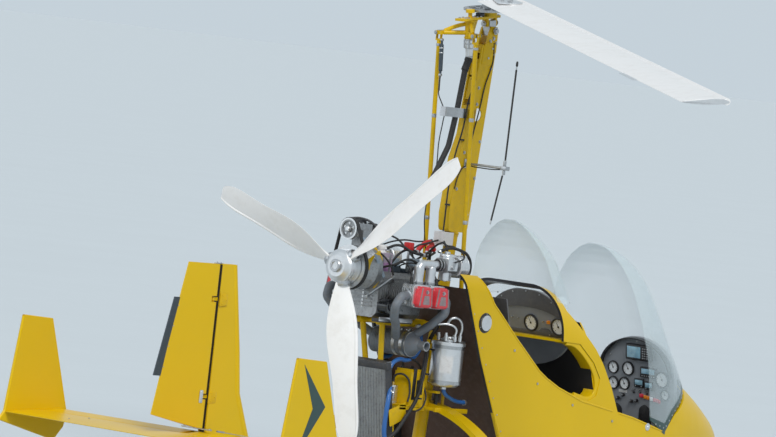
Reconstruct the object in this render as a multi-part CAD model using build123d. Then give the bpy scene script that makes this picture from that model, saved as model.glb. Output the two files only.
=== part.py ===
from build123d import *
import os
from math import cos, radians, sin, tan

# Tandem gyrocopter, millimetres. x runs forward from the rotor hub, y to port, z up from the ground.

# Shared clearances
seat_gap = 0.3          # between pieces of different bodies that seat on each other
running_fit = 0.05      # radial, a pin in its bore
swing_gap = 6.0         # between a piece that turns and what it passes

# Rotor, head and mast
rotor_radius = 4115.0
rotor_chord = 220.0
rotor_thick = 26.0
rotor_root = 190.0
rotor_heading = 232.0   # degrees from the nose, towards port
head_tilt = 8.5         # degrees aft
hub_height = 165.0      # from the pitch pivot up to the blades, along the spindle
pivot_z = 2505.0
mast_width = 64.0
mast_lean = 3.8         # degrees forward
post_radius = 32.0
post_mid = (-131.0, 744.0)

# Propeller and engine
prop_x = -880.0
prop_z = 1300.0
prop_hub_radius = 80.0
hub_back_x = -906.0
crank_z = 1195.0
case_x = (-700.0, -370.0)
case_half_width = 92.0
case_top = crank_z + 96.0
cylinder_x = (-591.0, -465.0)
cylinder_reach = 190.0
head_reach = 262.0
cover_reach = 305.0

# Undercarriage
main_wheel = dict(radius=190.0, width=100.0, rim=88.0, x=-215.0, y=800.0)
nose_wheel = dict(radius=170.0, width=90.0, rim=78.0, x=1480.0, y=0.0)
tail_wheel = dict(radius=60.0, width=34.0, rim=32.0, x=-1985.0, y=0.0)
tail_wheel_lift = 70.0
axle_radius = 12.0
tow_bore_radius = 7.0
leaf_crown_z = 690.0
leaf_thick = 28.0
leaf_width = 90.0

# Tail
keel_z = 380.0
keel_radius = 30.0
keel_x = (-2080.0, 120.0)
stabiliser_z = 447.0
stabiliser_half_span = 845.0
hinge_x = -1796.0
hinge_gap = 8.0
end_fin_thick = 16.0

# Pod
pod_wall = 14.0


def round_bar(start, end, radius):
    run = Vector(*end) - Vector(*start)
    return Plane(origin=start, z_dir=run) * Cylinder(
        radius, run.length, align=(Align.CENTER, Align.CENTER, Align.MIN)
    )


def pipe(points, radius, bend):
    path = FilletPolyline(*points, radius=bend)
    start = Plane(origin=points[0], z_dir=Vector(*points[1]) - Vector(*points[0]))
    return sweep(start * Circle(radius), path=path)


def block(x, y, z):
    return Pos((x[0] + x[1]) / 2, (y[0] + y[1]) / 2, (z[0] + z[1]) / 2) * Box(
        abs(x[1] - x[0]), abs(y[1] - y[0]), abs(z[1] - z[0])
    )


def side_plate(outline, y):
    face = make_face(Polyline(*outline, close=True))
    return extrude(Plane.XZ.offset(-y[0]) * face, amount=-(y[1] - y[0]))


def lateral_disc(x, z, y, radius):
    return round_bar((x, y[0], z), (x, y[1], z), radius)


def fuse(*shapes):
    whole = shapes[0]
    for shape in shapes[1:]:
        whole = whole + shape
    return whole


def together(*shapes):
    return Compound(children=[solid for shape in shapes for solid in shape.solids()])


def largest(shape):
    return max(shape.solids(), key=lambda solid: solid.volume)


def smooth_rows(rows, steps):
    # A table with rows put between its own, on a curve through them
    filled = []
    last = len(rows) - 1
    for index in range(last):
        before = rows[max(index - 1, 0)]
        near = rows[index]
        far = rows[index + 1]
        after = rows[min(index + 2, last)]
        span = far[0] - near[0]
        for step in range(steps):
            share = step / steps
            row = [near[0] + span * share]
            for low, start, end, high in zip(before[1:], near[1:], far[1:], after[1:]):
                leave = (end - low) / (far[0] - before[0]) * span
                arrive = (high - start) / (after[0] - near[0]) * span
                turn = 2 * (start - end) + leave + arrive
                bend = 3 * (end - start) - 2 * leave - arrive
                row.append(start + share * (leave + share * (bend + share * turn)))
            filled.append(tuple(row))
    filled.append(rows[-1])
    return tuple(filled)


def aerofoil(chord, thick, quarter=0.25):
    # Nose at +x, trailing edge at -x, with the origin at a share of the chord behind the nose
    nose = chord * quarter
    tail = nose - chord
    shoulder = nose - chord * 0.12
    crest = nose - chord * 0.38
    edge = max(1.5, thick * 0.06)
    upper = ThreePointArc((shoulder, thick * 0.41), (crest, thick * 0.5), (tail, edge / 2))
    lower = ThreePointArc((tail, -edge / 2), (crest, -thick * 0.5), (shoulder, -thick * 0.41))
    return make_face(
        Curve()
        + [
            ThreePointArc((shoulder, -thick * 0.41), (nose, 0), (shoulder, thick * 0.41)),
            upper,
            Line((tail, edge / 2), (tail, -edge / 2)),
            lower,
        ]
    )


# Fuselage pod

# station x, half width, floor z, roof z, bilge radius, shoulder radius
pod_stations = (
    (-420, 325, 350, 1332, 80, 70),
    (0, 338, 330, 1330, 90, 120),
    (550, 340, 330, 1275, 100, 235),
    (1100, 335, 345, 1120, 110, 280),
    (1480, 318, 378, 955, 120, 275),
    (1755, 270, 408, 850, 115, 240),
    (1990, 195, 442, 712, 105, 150),
    (2120, 118, 470, 630, 60, 85),
    (2195, 45, 500, 572, 30, 36),
)

# The sill in side view, from the rear shoulder forward to the foot of the front windshield
sill_line = (
    (-205, 1313),
    (-103, 1194),
    (106, 1029),
    (305, 884),
    (374, 848),
    (472, 808),
    (671, 749),
    (1109, 679),
    (1401, 615),
    (1480, 697),
    (1755, 862),
)
rear_edge_line = ((-350, 1340), (-312, 1249), (-158, 916), (46, 546), (96, 300))


def pod_solid(inset):
    faces = []
    for x, half, floor, roof, bilge, shoulder in smooth_rows(pod_stations, 3):
        pull = inset if x < 2100 else inset * 0.8
        plane = Plane(origin=(x, 0, (floor + roof) / 2), x_dir=(0, 1, 0), z_dir=(1, 0, 0))
        outline = Rectangle(2 * (half - pull), roof - floor - 2 * pull)
        low = outline.vertices().group_by(Axis.Y)[0]
        outline = fillet(low, max(bilge - pull, 8))
        high = outline.vertices().group_by(Axis.Y)[-1]
        # after the low fillet the two top corners are still sharp
        outline = fillet(high, max(shoulder - pull, 8))
        faces.append(plane * outline)
    return loft(faces, ruled=True)


pod_outer = pod_solid(0)
pod_inner = pod_solid(pod_wall)
pod_room = pod_inner + side_plate(sill_line + ((1755, 1600), (-205, 1600)), (-200, 200))
above_sill = side_plate(sill_line + ((1755, 1600), (-205, 1600)), (-500, 500))
behind_edge = side_plate(rear_edge_line + ((-600, 300), (-600, 1400)), (-500, 500))
shoulder_lip_y = 290.0
open_top = block((-600, -190), (-shoulder_lip_y, shoulder_lip_y), (1120, 1600))

cap_place = (-154, 1096)
cap_radius = 38.0


def fuselage_pod():
    shell = pod_outer - pod_inner
    shell = shell - above_sill - behind_edge - open_top
    kingpin_hole = round_bar((nose_pivot_x, 0, 300), (nose_pivot_x, 0, 500), kingpin_radius + seat_gap)
    shell = shell - kingpin_hole - lateral_disc(*cap_place, (-400, -300), cap_radius)
    return largest(shell)


def filler_cap():
    return lateral_disc(*cap_place, (-342, -325), cap_radius)


nose_pivot_x = 1440.0
kingpin_radius = 16.0

# Rear bulkhead with the raked firewall
firewall_thick = 6.0
firewall_inset = 62.0
firewall_top = 1250.0


def firewall():
    rake = [(x + firewall_inset, z) for x, z in rear_edge_line]
    front = [(x + firewall_thick, z) for x, z in reversed(rake)]
    panel = side_plate(tuple(rake) + tuple(front), (-400, 400)) & pod_inner
    panel = panel & block((-500, 300), (-400, 400), (200, firewall_top))
    return panel - mast_post() - engine_frame()


# Front seat fairing between the cockpits
fairing_outline = (
    (492, 1300),
    (519, 1182),
    (646, 1081),
    (743, 1004),
    (820, 926),
    (902, 822),
    (978, 700),
    (540, 700),
    (560, 782),
    (725, 747),
    (785, 774),
    (801, 860),
    (736, 937),
    (605, 1026),
    (470, 1032),
    (430, 1300),
)


# The front seat leans on this plate: front face, foot then head
fairing_back_line = ((905, 520), (656, 1130))
fairing_back_thick = 16.0


def on_fairing_back(z):
    (low_x, low_z), (high_x, high_z) = fairing_back_line
    return low_x + (z - low_z) * (high_x - low_x) / (high_z - low_z) + seat_gap


def front_seat_fairing():
    shell = pod_outer - pod_inner
    panel = shell & side_plate(fairing_outline, (-400, 400)) & above_sill
    (low_x, low_z), (high_x, high_z) = fairing_back_line
    back = side_plate(
        (
            (high_x - fairing_back_thick, high_z),
            (high_x, high_z),
            (low_x, low_z),
            (low_x - fairing_back_thick, low_z),
        ),
        (-400, 400),
    ) & pod_inner
    shelf = block((480, 648), (-400, 400), (1026, 1038)) & pod_inner
    return largest(panel + back + shelf)


# Windshields: level sections, each half an ellipse ahead of the rim

# level z, rim x, reach ahead of the rim, half width
front_glass_levels = (
    (560, 1285, 620, 330),
    (864, 1235, 520, 334),
    (1010, 1195, 436, 325),
    (1280, 1140, 300, 255),
    (1410, 1108, 222, 183),
    (1485, 1080, 122, 98),
    (1512, 1062, 40, 34),
)
rear_glass_levels = (
    (1020, 520, 340, 330),
    (1190, 470, 290, 285),
    (1403, 412, 228, 225),
    (1506, 382, 158, 155),
    (1570, 368, 84, 82),
    (1594, 362, 30, 29),
)
glass_thick = 4.0


def glass_solid(levels, inset):
    faces = []
    for z, rim_x, reach, half in smooth_rows(levels, 2):
        plane = Plane(origin=(rim_x, 0, z - (inset if z == levels[-1][0] else 0)), z_dir=(0, 0, 1))
        faces.append(plane * Ellipse(reach - inset, half - inset))
    return loft(faces, ruled=True)


def glass_rim_cut(levels):
    low_z, low_x = levels[0][0], levels[0][1]
    high_z, high_x = levels[-1][0], levels[-1][1]
    lean = (low_x - high_x) / (high_z - low_z)
    top = (high_x - lean * 200, high_z + 200)
    foot = (low_x + lean * 200, low_z - 200)
    return side_plate((top, foot, (foot[0] - 900, foot[1]), (top[0] - 900, top[1])), (-500, 500))


def front_windshield():
    shell = glass_solid(front_glass_levels, 0) - glass_solid(front_glass_levels, glass_thick)
    shell = shell - glass_rim_cut(front_glass_levels)
    below = side_plate(
        ((1000, 300), (1000, 730), (1261, 669), (1401, 600), (1480, 676), (1755, 830), (2200, 1000), (2200, 300)),
        (-500, 500),
    )
    return largest(shell - below - fuselage_pod())


def rear_windshield():
    shell = glass_solid(rear_glass_levels, 0) - glass_solid(rear_glass_levels, glass_thick)
    shell = shell - glass_rim_cut(rear_glass_levels)
    return largest(shell - pod_outer)


# Instrument panels


def arch_panel(foot, head, half_width, straight, thick):
    # An upright plate with an arched top, from foot (x, z) to head (x, z), facing aft
    run = Vector(head[0] - foot[0], 0, head[1] - foot[1])
    up = run.normalized()
    plane = Plane(origin=(foot[0], 0, foot[1]), x_dir=(0, 1, 0), z_dir=Vector(0, 1, 0).cross(up))
    outline = Rectangle(2 * half_width, straight, align=(Align.CENTER, Align.MIN)) + Pos(0, straight) * Ellipse(
        half_width, run.length - straight
    )
    return extrude(plane * outline, amount=thick)


def front_panel():
    panel = arch_panel((1597, 620), (1509, 1058), 236, 260, 24) & (
        pod_inner + glass_solid(front_glass_levels, 12)
    )
    brace = lateral_disc(1595, 690, (-400, 400), 9) & pod_inner
    return panel + brace


def rear_panel():
    return (arch_panel((618, 1038), (560, 1262), 262, 40, 24) & pod_inner) - front_seat_fairing()


# Seats: cushions on the moulded seat pans
seat_half_width = 215.0
pan_start = 34.0

# cushion name: back foot, back head, pan front, thickness
seat_places = {
    "front_seat": ((on_fairing_back(530), 530), (on_fairing_back(1070), 1070), (1240, 560), 60.0),
    "rear_seat": ((214, 590), (20, 1180), (520, 620), 60.0),
}


def seat_cushions(name):
    foot, head, front, thick = seat_places[name]
    back_run = Vector(head[0] - foot[0], head[1] - foot[1]).normalized()
    ahead = Vector(-back_run.Y, back_run.X) * -thick
    back = side_plate(
        (foot, head, (head[0] + ahead.X, head[1] + ahead.Y), (foot[0] + ahead.X, foot[1] + ahead.Y)),
        (-seat_half_width, seat_half_width),
    )
    back = fillet(back.edges().filter_by(Axis.Y), thick * 0.32)
    pan_top = foot[1] - 4
    pan = side_plate(
        (
            (foot[0] + pan_start, pan_top - thick),
            (foot[0] + pan_start, pan_top),
            (front[0], front[1]),
            (front[0], front[1] - thick),
        ),
        (-seat_half_width, seat_half_width),
    )
    pan = fillet(pan.edges().filter_by(Axis.Y), thick * 0.32)
    return Compound(children=[back, pan])


pan_wall = 8.0


def seat_pans():
    shapes = []
    for foot, head, front, thick in seat_places.values():
        rear_top = foot[1] - 4 - thick - seat_gap
        front_top = front[1] - thick - seat_gap
        pan = side_plate(
            (
                (foot[0] + pan_start, rear_top),
                (front[0], front_top),
                (front[0], front_top - pan_wall),
                (foot[0] + pan_start, rear_top - pan_wall),
            ),
            (-400, 400),
        )
        shapes.append(pan & pod_inner)
    return Compound(children=[largest(shape) for shape in shapes])


def rear_seat_back():
    foot, head, front, thick = seat_places["rear_seat"]
    lean = (head[0] - foot[0]) / (head[1] - foot[1])
    low_x = foot[0] - 70 * lean - seat_gap
    high_x = head[0] + 40 * lean - seat_gap
    back = side_plate(
        (
            (low_x, foot[1] - 70),
            (high_x, head[1] + 40),
            (high_x - pan_wall, head[1] + 40),
            (low_x - pan_wall, foot[1] - 70),
        ),
        (-400, 400),
    )
    return largest((back & pod_inner) - mast_post(clearance=seat_gap))


# Controls

stick_places = ((1330, 480), (610, 520))


def control_sticks():
    shapes = []
    for x, z in stick_places:
        foot = block((x - 22, x + 22), (-22, 22), (pod_floor(x) - 20, pod_floor(x) + 40))
        stick = pipe(((x, 0, pod_floor(x) + 38), (x, 0, z + 140), (x - 60, 0, z + 330)), 11, 60)
        grip = round_bar((x - 60, 0, z + 328), (x - 92, 0, z + 428), 19)
        shapes.append(largest((foot + stick + grip) & pod_room))
    return Compound(children=shapes)


def pod_floor(x):
    # Height of the pod's inner floor at a station, from the station table
    for near, far in zip(pod_stations, pod_stations[1:]):
        if near[0] <= x <= far[0]:
            share = (x - near[0]) / (far[0] - near[0])
            return near[2] + share * (far[2] - near[2]) + pod_wall
    return pod_wall


pedal_x = 1760.0


def rudder_pedals():
    shapes = []
    bar_z = pod_floor(pedal_x) + 60
    for side in (-1, 1):
        arm = round_bar((pedal_x, side * 95, bar_z), (pedal_x + 40, side * 95, bar_z + 150), 8)
        pad = block((pedal_x + 30, pedal_x + 44), (side * 95 - 38, side * 95 + 38), (bar_z + 120, bar_z + 170))
        shapes.append(arm + pad)
    bar = round_bar((pedal_x, -150, bar_z), (pedal_x, 150, bar_z), 11)
    foot = block((pedal_x - 15, pedal_x + 15), (-20, 20), (pod_floor(pedal_x) - 20, bar_z))
    return largest(fuse(bar, foot, *shapes) & pod_inner)


# Mast and frame

mast_outline = (
    (-5, 1510),
    (56, 2440),
    (-54, 2430),
    (-96, 1988),
    (-138, 1869),
    (-160, 1596),
    (-148, 1510),
)
mast_hole = (-34, 2089, 32)
mast_foot_z = keel_z + keel_radius
cheek_gap = 22.0
cheek_top = 20.0
pivot_x = hub_height * sin(radians(head_tilt))
pitch_bolt_radius = 7.0


def mast_post(clearance=0.0):
    lean = tan(radians(mast_lean))
    x_mid, z_mid = post_mid
    low = (x_mid - (z_mid - 350) * lean, 0, 350)
    high = (x_mid + (1530 - z_mid) * lean, 0, 1530)
    return round_bar(low, high, post_radius + clearance)


def mast_block():
    return side_plate(mast_outline, (-mast_width / 2, mast_width / 2))


def mast():
    box = mast_block()
    box = fillet(box.edges().filter_by(Axis.Y).sort_by(Axis.Z)[:2], 24)
    hole = lateral_disc(mast_hole[0], mast_hole[1], (-60, 60), mast_hole[2])
    channel = side_plate(
        ((-120, 2130), (-62, 2130), (-36, 2410), (-36, 2500), (-120, 2500)),
        (-mast_width / 2 + 8, mast_width / 2 - 8),
    )
    cheek = side_plate(
        ((-34, 2400), (56, 2400), (pivot_x + 30, pivot_z - 10), (pivot_x + 22, pivot_z + cheek_top),
         (pivot_x - 22, pivot_z + cheek_top), (pivot_x - 34, pivot_z - 10)),
        (cheek_gap, mast_width / 2),
    )
    cheeks = [cheek, mirror(cheek, about=Plane.XZ)]
    bolt = lateral_disc(pivot_x, pivot_z, (-mast_width / 2 - 8, mast_width / 2 + 8), pitch_bolt_radius)
    post = mast_post() - keel_tube() - mast_post(clearance=-tube_wall)
    inside = side_plate(
        ((10, 1560), (48, 2390), (-50, 2390), (-88, 1988), (-130, 1869), (-150, 1600), (-140, 1560)),
        (-mast_width / 2 + tube_wall, mast_width / 2 - tube_wall),
    )
    return largest(fuse(box - hole - channel - inside, *cheeks, bolt, post))


def keel_tube(clearance=0.0):
    return round_bar((keel_x[0], 0, keel_z), (keel_x[1], 0, keel_z), keel_radius + clearance)


bed_y = 62.0
bed_z = 1052.0
bed_radius = 16.0
rail_radius = 17.0
bed_end_x = -640.0
beam_z = 646.0
strut_foot = (-470.0, keel_z)
strut_head_x = bed_end_x + 34
strut_spread = 9.0
strut_radius = 14.0
tube_wall = 3.0
clamp_x = (main_wheel["x"] - 52, main_wheel["x"] + 52)
clamp_y = (-60.0, 60.0)
clamp_z = (leaf_crown_z - leaf_thick - 22, leaf_crown_z + 14)
tray_x = (-516.0, -326.0)
tray_y = (-156.0, 16.0)
tray_z = 664.0
tray_thick = 8.0
oil_tank_place = (-258.0, -205.0)
oil_tank_radius = 78.0
oil_tank_z = (766.0, 985.0)


def post_at(z):
    # x of the mast post's axis at a height
    return post_mid[0] + (z - post_mid[1]) * tan(radians(mast_lean))


def engine_frame():
    # Tubes meet with their ends staggered, as mitred tubes do
    front_x = post_at(bed_z)
    brace_x = bed_end_x + 62
    tubes = []
    for side in (-1, 1):
        y = side * bed_y
        tubes.append(round_bar((front_x, side * 4, bed_z), (front_x - 92, y, bed_z), bed_radius))
        tubes.append(round_bar((front_x - 72, y, bed_z), (bed_end_x, y, bed_z), rail_radius))
        tubes.append(
            round_bar((strut_foot[0], side * strut_spread, strut_foot[1]), (strut_head_x, y, bed_z - 3), strut_radius)
        )
    tubes.append(round_bar((brace_x, -bed_y, bed_z), (brace_x, bed_y, bed_z), bed_radius - 3))
    tubes.append(round_bar((post_at(beam_z), 0, beam_z), (-440, 0, beam_z), bed_radius))
    tubes.append(round_bar((-425, 0, beam_z + 4), (-425, 0, keel_z), strut_radius))
    tubes.append(block(tray_x, tray_y, (tray_z - tray_thick, tray_z)))
    tank_x, tank_y = oil_tank_place
    arm_z = (oil_tank_z[0] + oil_tank_z[1]) / 2
    arm = round_bar((post_at(arm_z), 0, arm_z), (tank_x, tank_y, arm_z), strut_radius)
    tank = round_bar((tank_x, tank_y, oil_tank_z[0]), (tank_x, tank_y, oil_tank_z[1]), oil_tank_radius)
    whole = keel_tube() + tubes
    bore = round_bar((keel_x[0], 0, keel_z), (keel_x[1], 0, keel_z), keel_radius - tube_wall)
    whole = whole - bore - (mast_post() - keel_tube())
    clamp = block(clamp_x, clamp_y, clamp_z) - leaf_leg() - mast_post()
    whole = whole + clamp
    return Compound(children=[largest(whole), largest(arm - tank - mast_post())])


# Engine


def crankcase():
    case = block(case_x, (-case_half_width, case_half_width), (bed_z + rail_radius, case_top))
    case = chamfer(case.edges().filter_by(Axis.X), 26)
    return case


def cylinder_heads():
    heads = []
    for side in (-1, 1):
        for x in cylinder_x:
            shift = x + (14 if side > 0 else 0)
            heads.append(
                block(
                    (shift - head_half, shift + head_half),
                    (side * cylinder_reach, side * head_reach),
                    (crank_z - head_half, crank_z + head_half),
                )
            )
    return Compound(children=heads)


def cylinders():
    shapes = []
    for side in (-1, 1):
        for x in cylinder_x:
            shift = x + (14 if side > 0 else 0)
            barrel = lateral_disc(shift, crank_z, (side * case_half_width, side * cylinder_reach), 46)
            fins = [
                lateral_disc(shift, crank_z, (side * y, side * (y + 3)), 56)
                for y in range(104, int(cylinder_reach) - 4, 11)
            ]
            head = block(
                (shift - 54, shift + 54),
                (side * cylinder_reach, side * head_reach),
                (crank_z - 54, crank_z + 54),
            )
            head = chamfer(head.edges().filter_by(Axis.Y), 16)
            shapes.append(fuse(barrel, head, *fins))
    return Compound(children=shapes)


def valve_covers():
    shapes = []
    for side in (-1, 1):
        for x in cylinder_x:
            shift = x + (14 if side > 0 else 0)
            outline = ((shift - 52, crank_z - 50), (shift + 52, crank_z - 50), (shift + 38, crank_z + 52),
                       (shift - 38, crank_z + 52))
            cover = side_plate(outline, sorted((side * head_reach, side * cover_reach)))
            cover = fillet(cover.edges().filter_by(Axis.Y), 20)
            outer = cover.faces().sort_by(Axis.Y)[0 if side < 0 else -1]
            shapes.append(fillet(outer.edges(), 13))
    return Compound(children=shapes)


gear_face_x = -806.0
pulley_x = (-814.0, -838.0)
pulley_radius = 105.0


def gearbox():
    profile = make_face(
        Polyline(
            (case_x[0], 0), (case_x[0], 104), (case_x[0] - 34, 104), (gear_face_x + 26, 70), (gear_face_x, 62),
            (gear_face_x, 0), close=True,
        )
    )
    body = Pos(0, 0, prop_z) * revolve(profile, Axis.X)
    return body - prop_shaft(running_fit)


prop_shaft_radius = 22.0


def prop_shaft(clearance=0.0):
    return round_bar((gear_face_x - 3, 0, prop_z), (gear_face_x + 60, 0, prop_z), prop_shaft_radius + clearance)


def prop_hub():
    shapes = [
        prop_shaft(),
        round_bar((gear_face_x - 2, 0, prop_z), (pulley_x[0], 0, prop_z), 60),
        round_bar((pulley_x[0], 0, prop_z), (pulley_x[1], 0, prop_z), pulley_radius),
        round_bar((pulley_x[1], 0, prop_z), (hub_back_x, 0, prop_z), prop_hub_radius),
    ]
    profile = make_face(
        Polyline(
            (hub_back_x, 0), (hub_back_x, prop_hub_radius), (hub_back_x - 8, prop_hub_radius - 6),
            (hub_back_x - 22, 52), (hub_back_x - 22, 30), (hub_back_x - 30, 28), (hub_back_x - 30, 0), close=True,
        )
    )
    return fuse(*shapes) + Pos(0, 0, prop_z) * revolve(profile, Axis.X)


# radius, chord, thickness, pitch in degrees
blade_stations = (
    (62, 54, 40, 62),
    (150, 100, 24, 46),
    (420, 146, 15, 27),
    (700, 122, 10, 18),
    (820, 92, 7, 15),
    (850, 62, 5, 14),
)
first_blade_angle = 138.0


def prop_blade(angle):
    faces = []
    for r, chord, thick, pitch in blade_stations:
        plane = Plane(origin=(0, 0, r), z_dir=(0, 0, 1), x_dir=(sin(radians(pitch)), cos(radians(pitch)), 0))
        faces.append(plane * aerofoil(chord, thick, 0.4))
    blade = loft(faces)
    return Pos(prop_x, 0, prop_z) * Rot(angle - 90, 0, 0) * blade


def prop_blades():
    hub = round_bar((prop_x + 60, 0, prop_z), (prop_x - 60, 0, prop_z), prop_hub_radius)
    return Compound(children=[largest(prop_blade(first_blade_angle + 120 * turn) - hub) for turn in range(3)])


# Intake: two runners a side rise from the heads and bend forward to the carburettor
head_half = 54.0
runner_y = 214.0
runner_radius = 20.0
runner_shift = (30.0, -6.0)
carb_x = (-396.0, -324.0)
carb_half_width = 42.0
carb_z = crank_z + 157.0
filter_x = (-304.0, -236.0)
filter_radius = 54.0


def intake_runners():
    shapes = []
    bend = runner_radius * 1.5
    for side in (-1, 1):
        y = side * runner_y
        legs = []
        for cylinder, shift in zip(cylinder_x, runner_shift):
            x = cylinder + shift
            route = ((x, y, crank_z + head_half), (x, y, carb_z), (carb_x[0], y, carb_z))
            legs.append(pipe(route, runner_radius, bend))
        shapes.append(fuse(*legs))
    return Compound(children=shapes)


def carburettors():
    shapes = []
    middle = (carb_x[0] + carb_x[1]) / 2
    for side in (-1, 1):
        y = side * runner_y
        body = block(carb_x, (y - carb_half_width, y + carb_half_width), (carb_z - 34, carb_z + 34))
        body = fillet(body.edges().filter_by(Axis.X), 14)
        bowl = round_bar((middle, y, carb_z - 30), (middle, y, carb_z - 72), 30)
        dome = round_bar((middle, y, carb_z + 30), (middle, y, carb_z + 58), 36)
        dome = fillet(dome.edges().sort_by(Axis.Z)[-1], 12)
        neck = round_bar((carb_x[1] - 2, y, carb_z), (filter_x[0], y, carb_z), 27)
        drum = round_bar((filter_x[0], y, carb_z), (filter_x[1], y, carb_z), filter_radius)
        drum = fillet(drum.edges().filter_by(GeomType.CIRCLE), 10)
        shapes.append(fuse(body, bowl, dome, neck, drum))
    return Compound(children=shapes)


# Muffler across the engine's foot, its mouth to starboard
muffler_place = (-425.0, 955.0)
muffler_radius = 60.0
muffler_half = 112.0
cone_reach = 52.0
mouth_radius = 22.0
mouth_reach = 40.0
header_radius = 21.0


def muffler_drum():
    mouth_end = muffler_half + cone_reach + mouth_reach
    profile = make_face(
        Polyline(
            (0, -mouth_end), (mouth_radius, -mouth_end), (mouth_radius, -muffler_half - cone_reach),
            (muffler_radius, -muffler_half), (muffler_radius, muffler_half),
            (mouth_radius, muffler_half + cone_reach * 0.6), (0, muffler_half + cone_reach * 0.6), close=True,
        )
    )
    return Pos(muffler_place[0], 0, muffler_place[1]) * revolve(profile, Axis.Y)


def muffler():
    x, z = muffler_place
    mouth_end = muffler_half + cone_reach + mouth_reach
    bore = lateral_disc(x, z, (-mouth_end - 1, -muffler_half - 20), mouth_radius - 3)
    return muffler_drum() - bore


# exhaust bends relative to the cylinder: x shift, y, z, for the rear and the front cylinder
header_routes = (
    ((-50, 232, 1196), (-104, 232, 1190), (-128, 222, 1140), (-88, 190, 1084), (-20, 150, 1050), (70, 84, 990)),
    ((50, 232, 1190), (118, 232, 1182), (140, 214, 1120), (100, 170, 1060), (50, 100, 990)),
)


def exhaust_pipes():
    drum = muffler_drum()
    shapes = []
    for side in (-1, 1):
        for x, route in zip(cylinder_x, header_routes):
            shift = x + (14 if side > 0 else 0)
            points = [(shift + along, side * y, z) for along, y, z in route]
            shapes.append(largest(pipe(points, header_radius, 26) - drum - cylinder_heads()))
    return Compound(children=shapes)


def oil_tank():
    x, y = oil_tank_place
    can = round_bar((x, y, oil_tank_z[0]), (x, y, oil_tank_z[1]), oil_tank_radius)
    can = fillet(can.edges().sort_by(Axis.Z)[0], 34)
    ring = round_bar((x, y, oil_tank_z[1] - 16), (x, y, oil_tank_z[1] - 2), oil_tank_radius + 6)
    cap = round_bar((x, y, oil_tank_z[1]), (x, y, oil_tank_z[1] + 26), 26)
    port = round_bar((x + 40, y, oil_tank_z[1] - 4), (x + 40, y, oil_tank_z[1] + 34), 10)
    return fuse(can, ring, cap, port)


def oil_filter():
    return lateral_disc(-664, 1131, (-case_half_width, -case_half_width - 62), 36) - crankcase()


def coolant_bottle():
    return block((-650, -560), (-40, 40), (case_top, case_top + 90))


# The radiator leans against the two rear struts of the frame
radiator_half_width = 128.0
radiator_thick = 45.0
radiator_span = (62.0, 500.0)


def radiator():
    foot = Vector(strut_foot[0], strut_foot[1])
    up = Vector(strut_head_x - strut_foot[0], bed_z - 3 - strut_foot[1]).normalized()
    aft = Vector(-up.Y, up.X)
    near = strut_radius + seat_gap
    corners = []
    for along, out in (
        (radiator_span[0], near),
        (radiator_span[1], near),
        (radiator_span[1], near + radiator_thick),
        (radiator_span[0], near + radiator_thick),
    ):
        point = foot + up * along + aft * out
        corners.append((point.X, point.Y))
    return side_plate(corners, (-radiator_half_width, radiator_half_width))


battery_x = (-448.0, -338.0)


def battery_box():
    case = block(battery_x, (-152, -50), (tray_z, tray_z + 158))
    lid = block((battery_x[0] + 5, battery_x[1] - 5), (-147, -55), (tray_z + 158, tray_z + 172))
    return case + lid


def electrics_box():
    on_mast = largest(block((-178, -100), (-30, 30), (1440, 1506)) - mast())
    on_battery = block((battery_x[1] + seat_gap, battery_x[1] + 52), (-112, -54), (tray_z + 90, tray_z + 152))
    return Compound(children=[on_mast, on_battery])


def fuel_pump():
    return round_bar((-480, -70, tray_z), (-480, -70, tray_z + 86), 26)


# Prerotator drive on top of the gearbox
prerotator_y = 26.0
prerotator_z = 1480.0
prerotator_end_x = -640.0


def prerotator_drive():
    y, z = prerotator_y, prerotator_z
    pulley = round_bar((pulley_x[1], y, z), (pulley_x[0], y, z), 50)
    pulley = pulley - round_bar((pulley_x[1] - 1, y, z), (pulley_x[1] + 7, y, z), 38)
    boss = round_bar((pulley_x[1] - 4, y, z), (pulley_x[0], y, z), 17)
    shaft = round_bar((pulley_x[0] - 4, y, z), (prerotator_end_x, y, z), 14)
    bearing = block((-798, -700), (y - 34, y + 34), (z - 34, z + 30))
    leg = block((-785, -730), (-26, 40), (prop_z + 40, z))
    return fuse(pulley, boss, shaft, bearing, leg) - gearbox()


# Flexible shaft up the back of the mast
flex_points = (
    (prerotator_end_x, prerotator_y, prerotator_z),
    (-560, prerotator_y, prerotator_z),
    (-420, 10, 1568),
    (-282, 0, 1752),
    (-186, 0, 1923),
    (-152, 0, 2107),
    (-128, 0, 2306),
)


def flexible_shaft(clearance=0.0):
    return pipe(flex_points, 14 + clearance, 60)


# Rotor head: everything above the pitch pivot, drawn upright and then leaned aft
head_plane = Plane(
    origin=(pivot_x, 0, pivot_z),
    x_dir=(cos(radians(head_tilt)), 0, sin(radians(head_tilt))),
    z_dir=(-sin(radians(head_tilt)), 0, cos(radians(head_tilt))),
)
roll_height = 36.0
gimbal_half = (25.0, cheek_gap - 1.0)
gimbal_z = (-22.0, 50.0)
roll_bolt_radius = 7.0
bar_z = (62.0, 74.0)
eye_x = -243.0
eye_y = 115.0
pillar_x = -152.0
starter_radius = 24.0
starter_foot_radius = 17.0
starter_z = (-125.0, -30.0)
gear_z = (100.0, 110.0)
pinion_radius = 22.0
mesh_gap = 2.0
gear_radius = -pillar_x - pinion_radius - mesh_gap
spindle_radius = 16.0
fork_reach = 22.0
cross_half = 10.0
cross_pin_radius = 4.0
tower_gap = 24.0
teeter_height = hub_height + 18.0
teeter_bolt_radius = 8.0


def gimbal_block():
    body = block((-gimbal_half[0], gimbal_half[0]), (-gimbal_half[1], gimbal_half[1]), gimbal_z)
    body = body - lateral_disc(0, 0, (-60, 60), pitch_bolt_radius + running_fit)
    body = body - round_bar((-60, 0, roll_height), (60, 0, roll_height), roll_bolt_radius + running_fit)
    return head_plane * body


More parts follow.
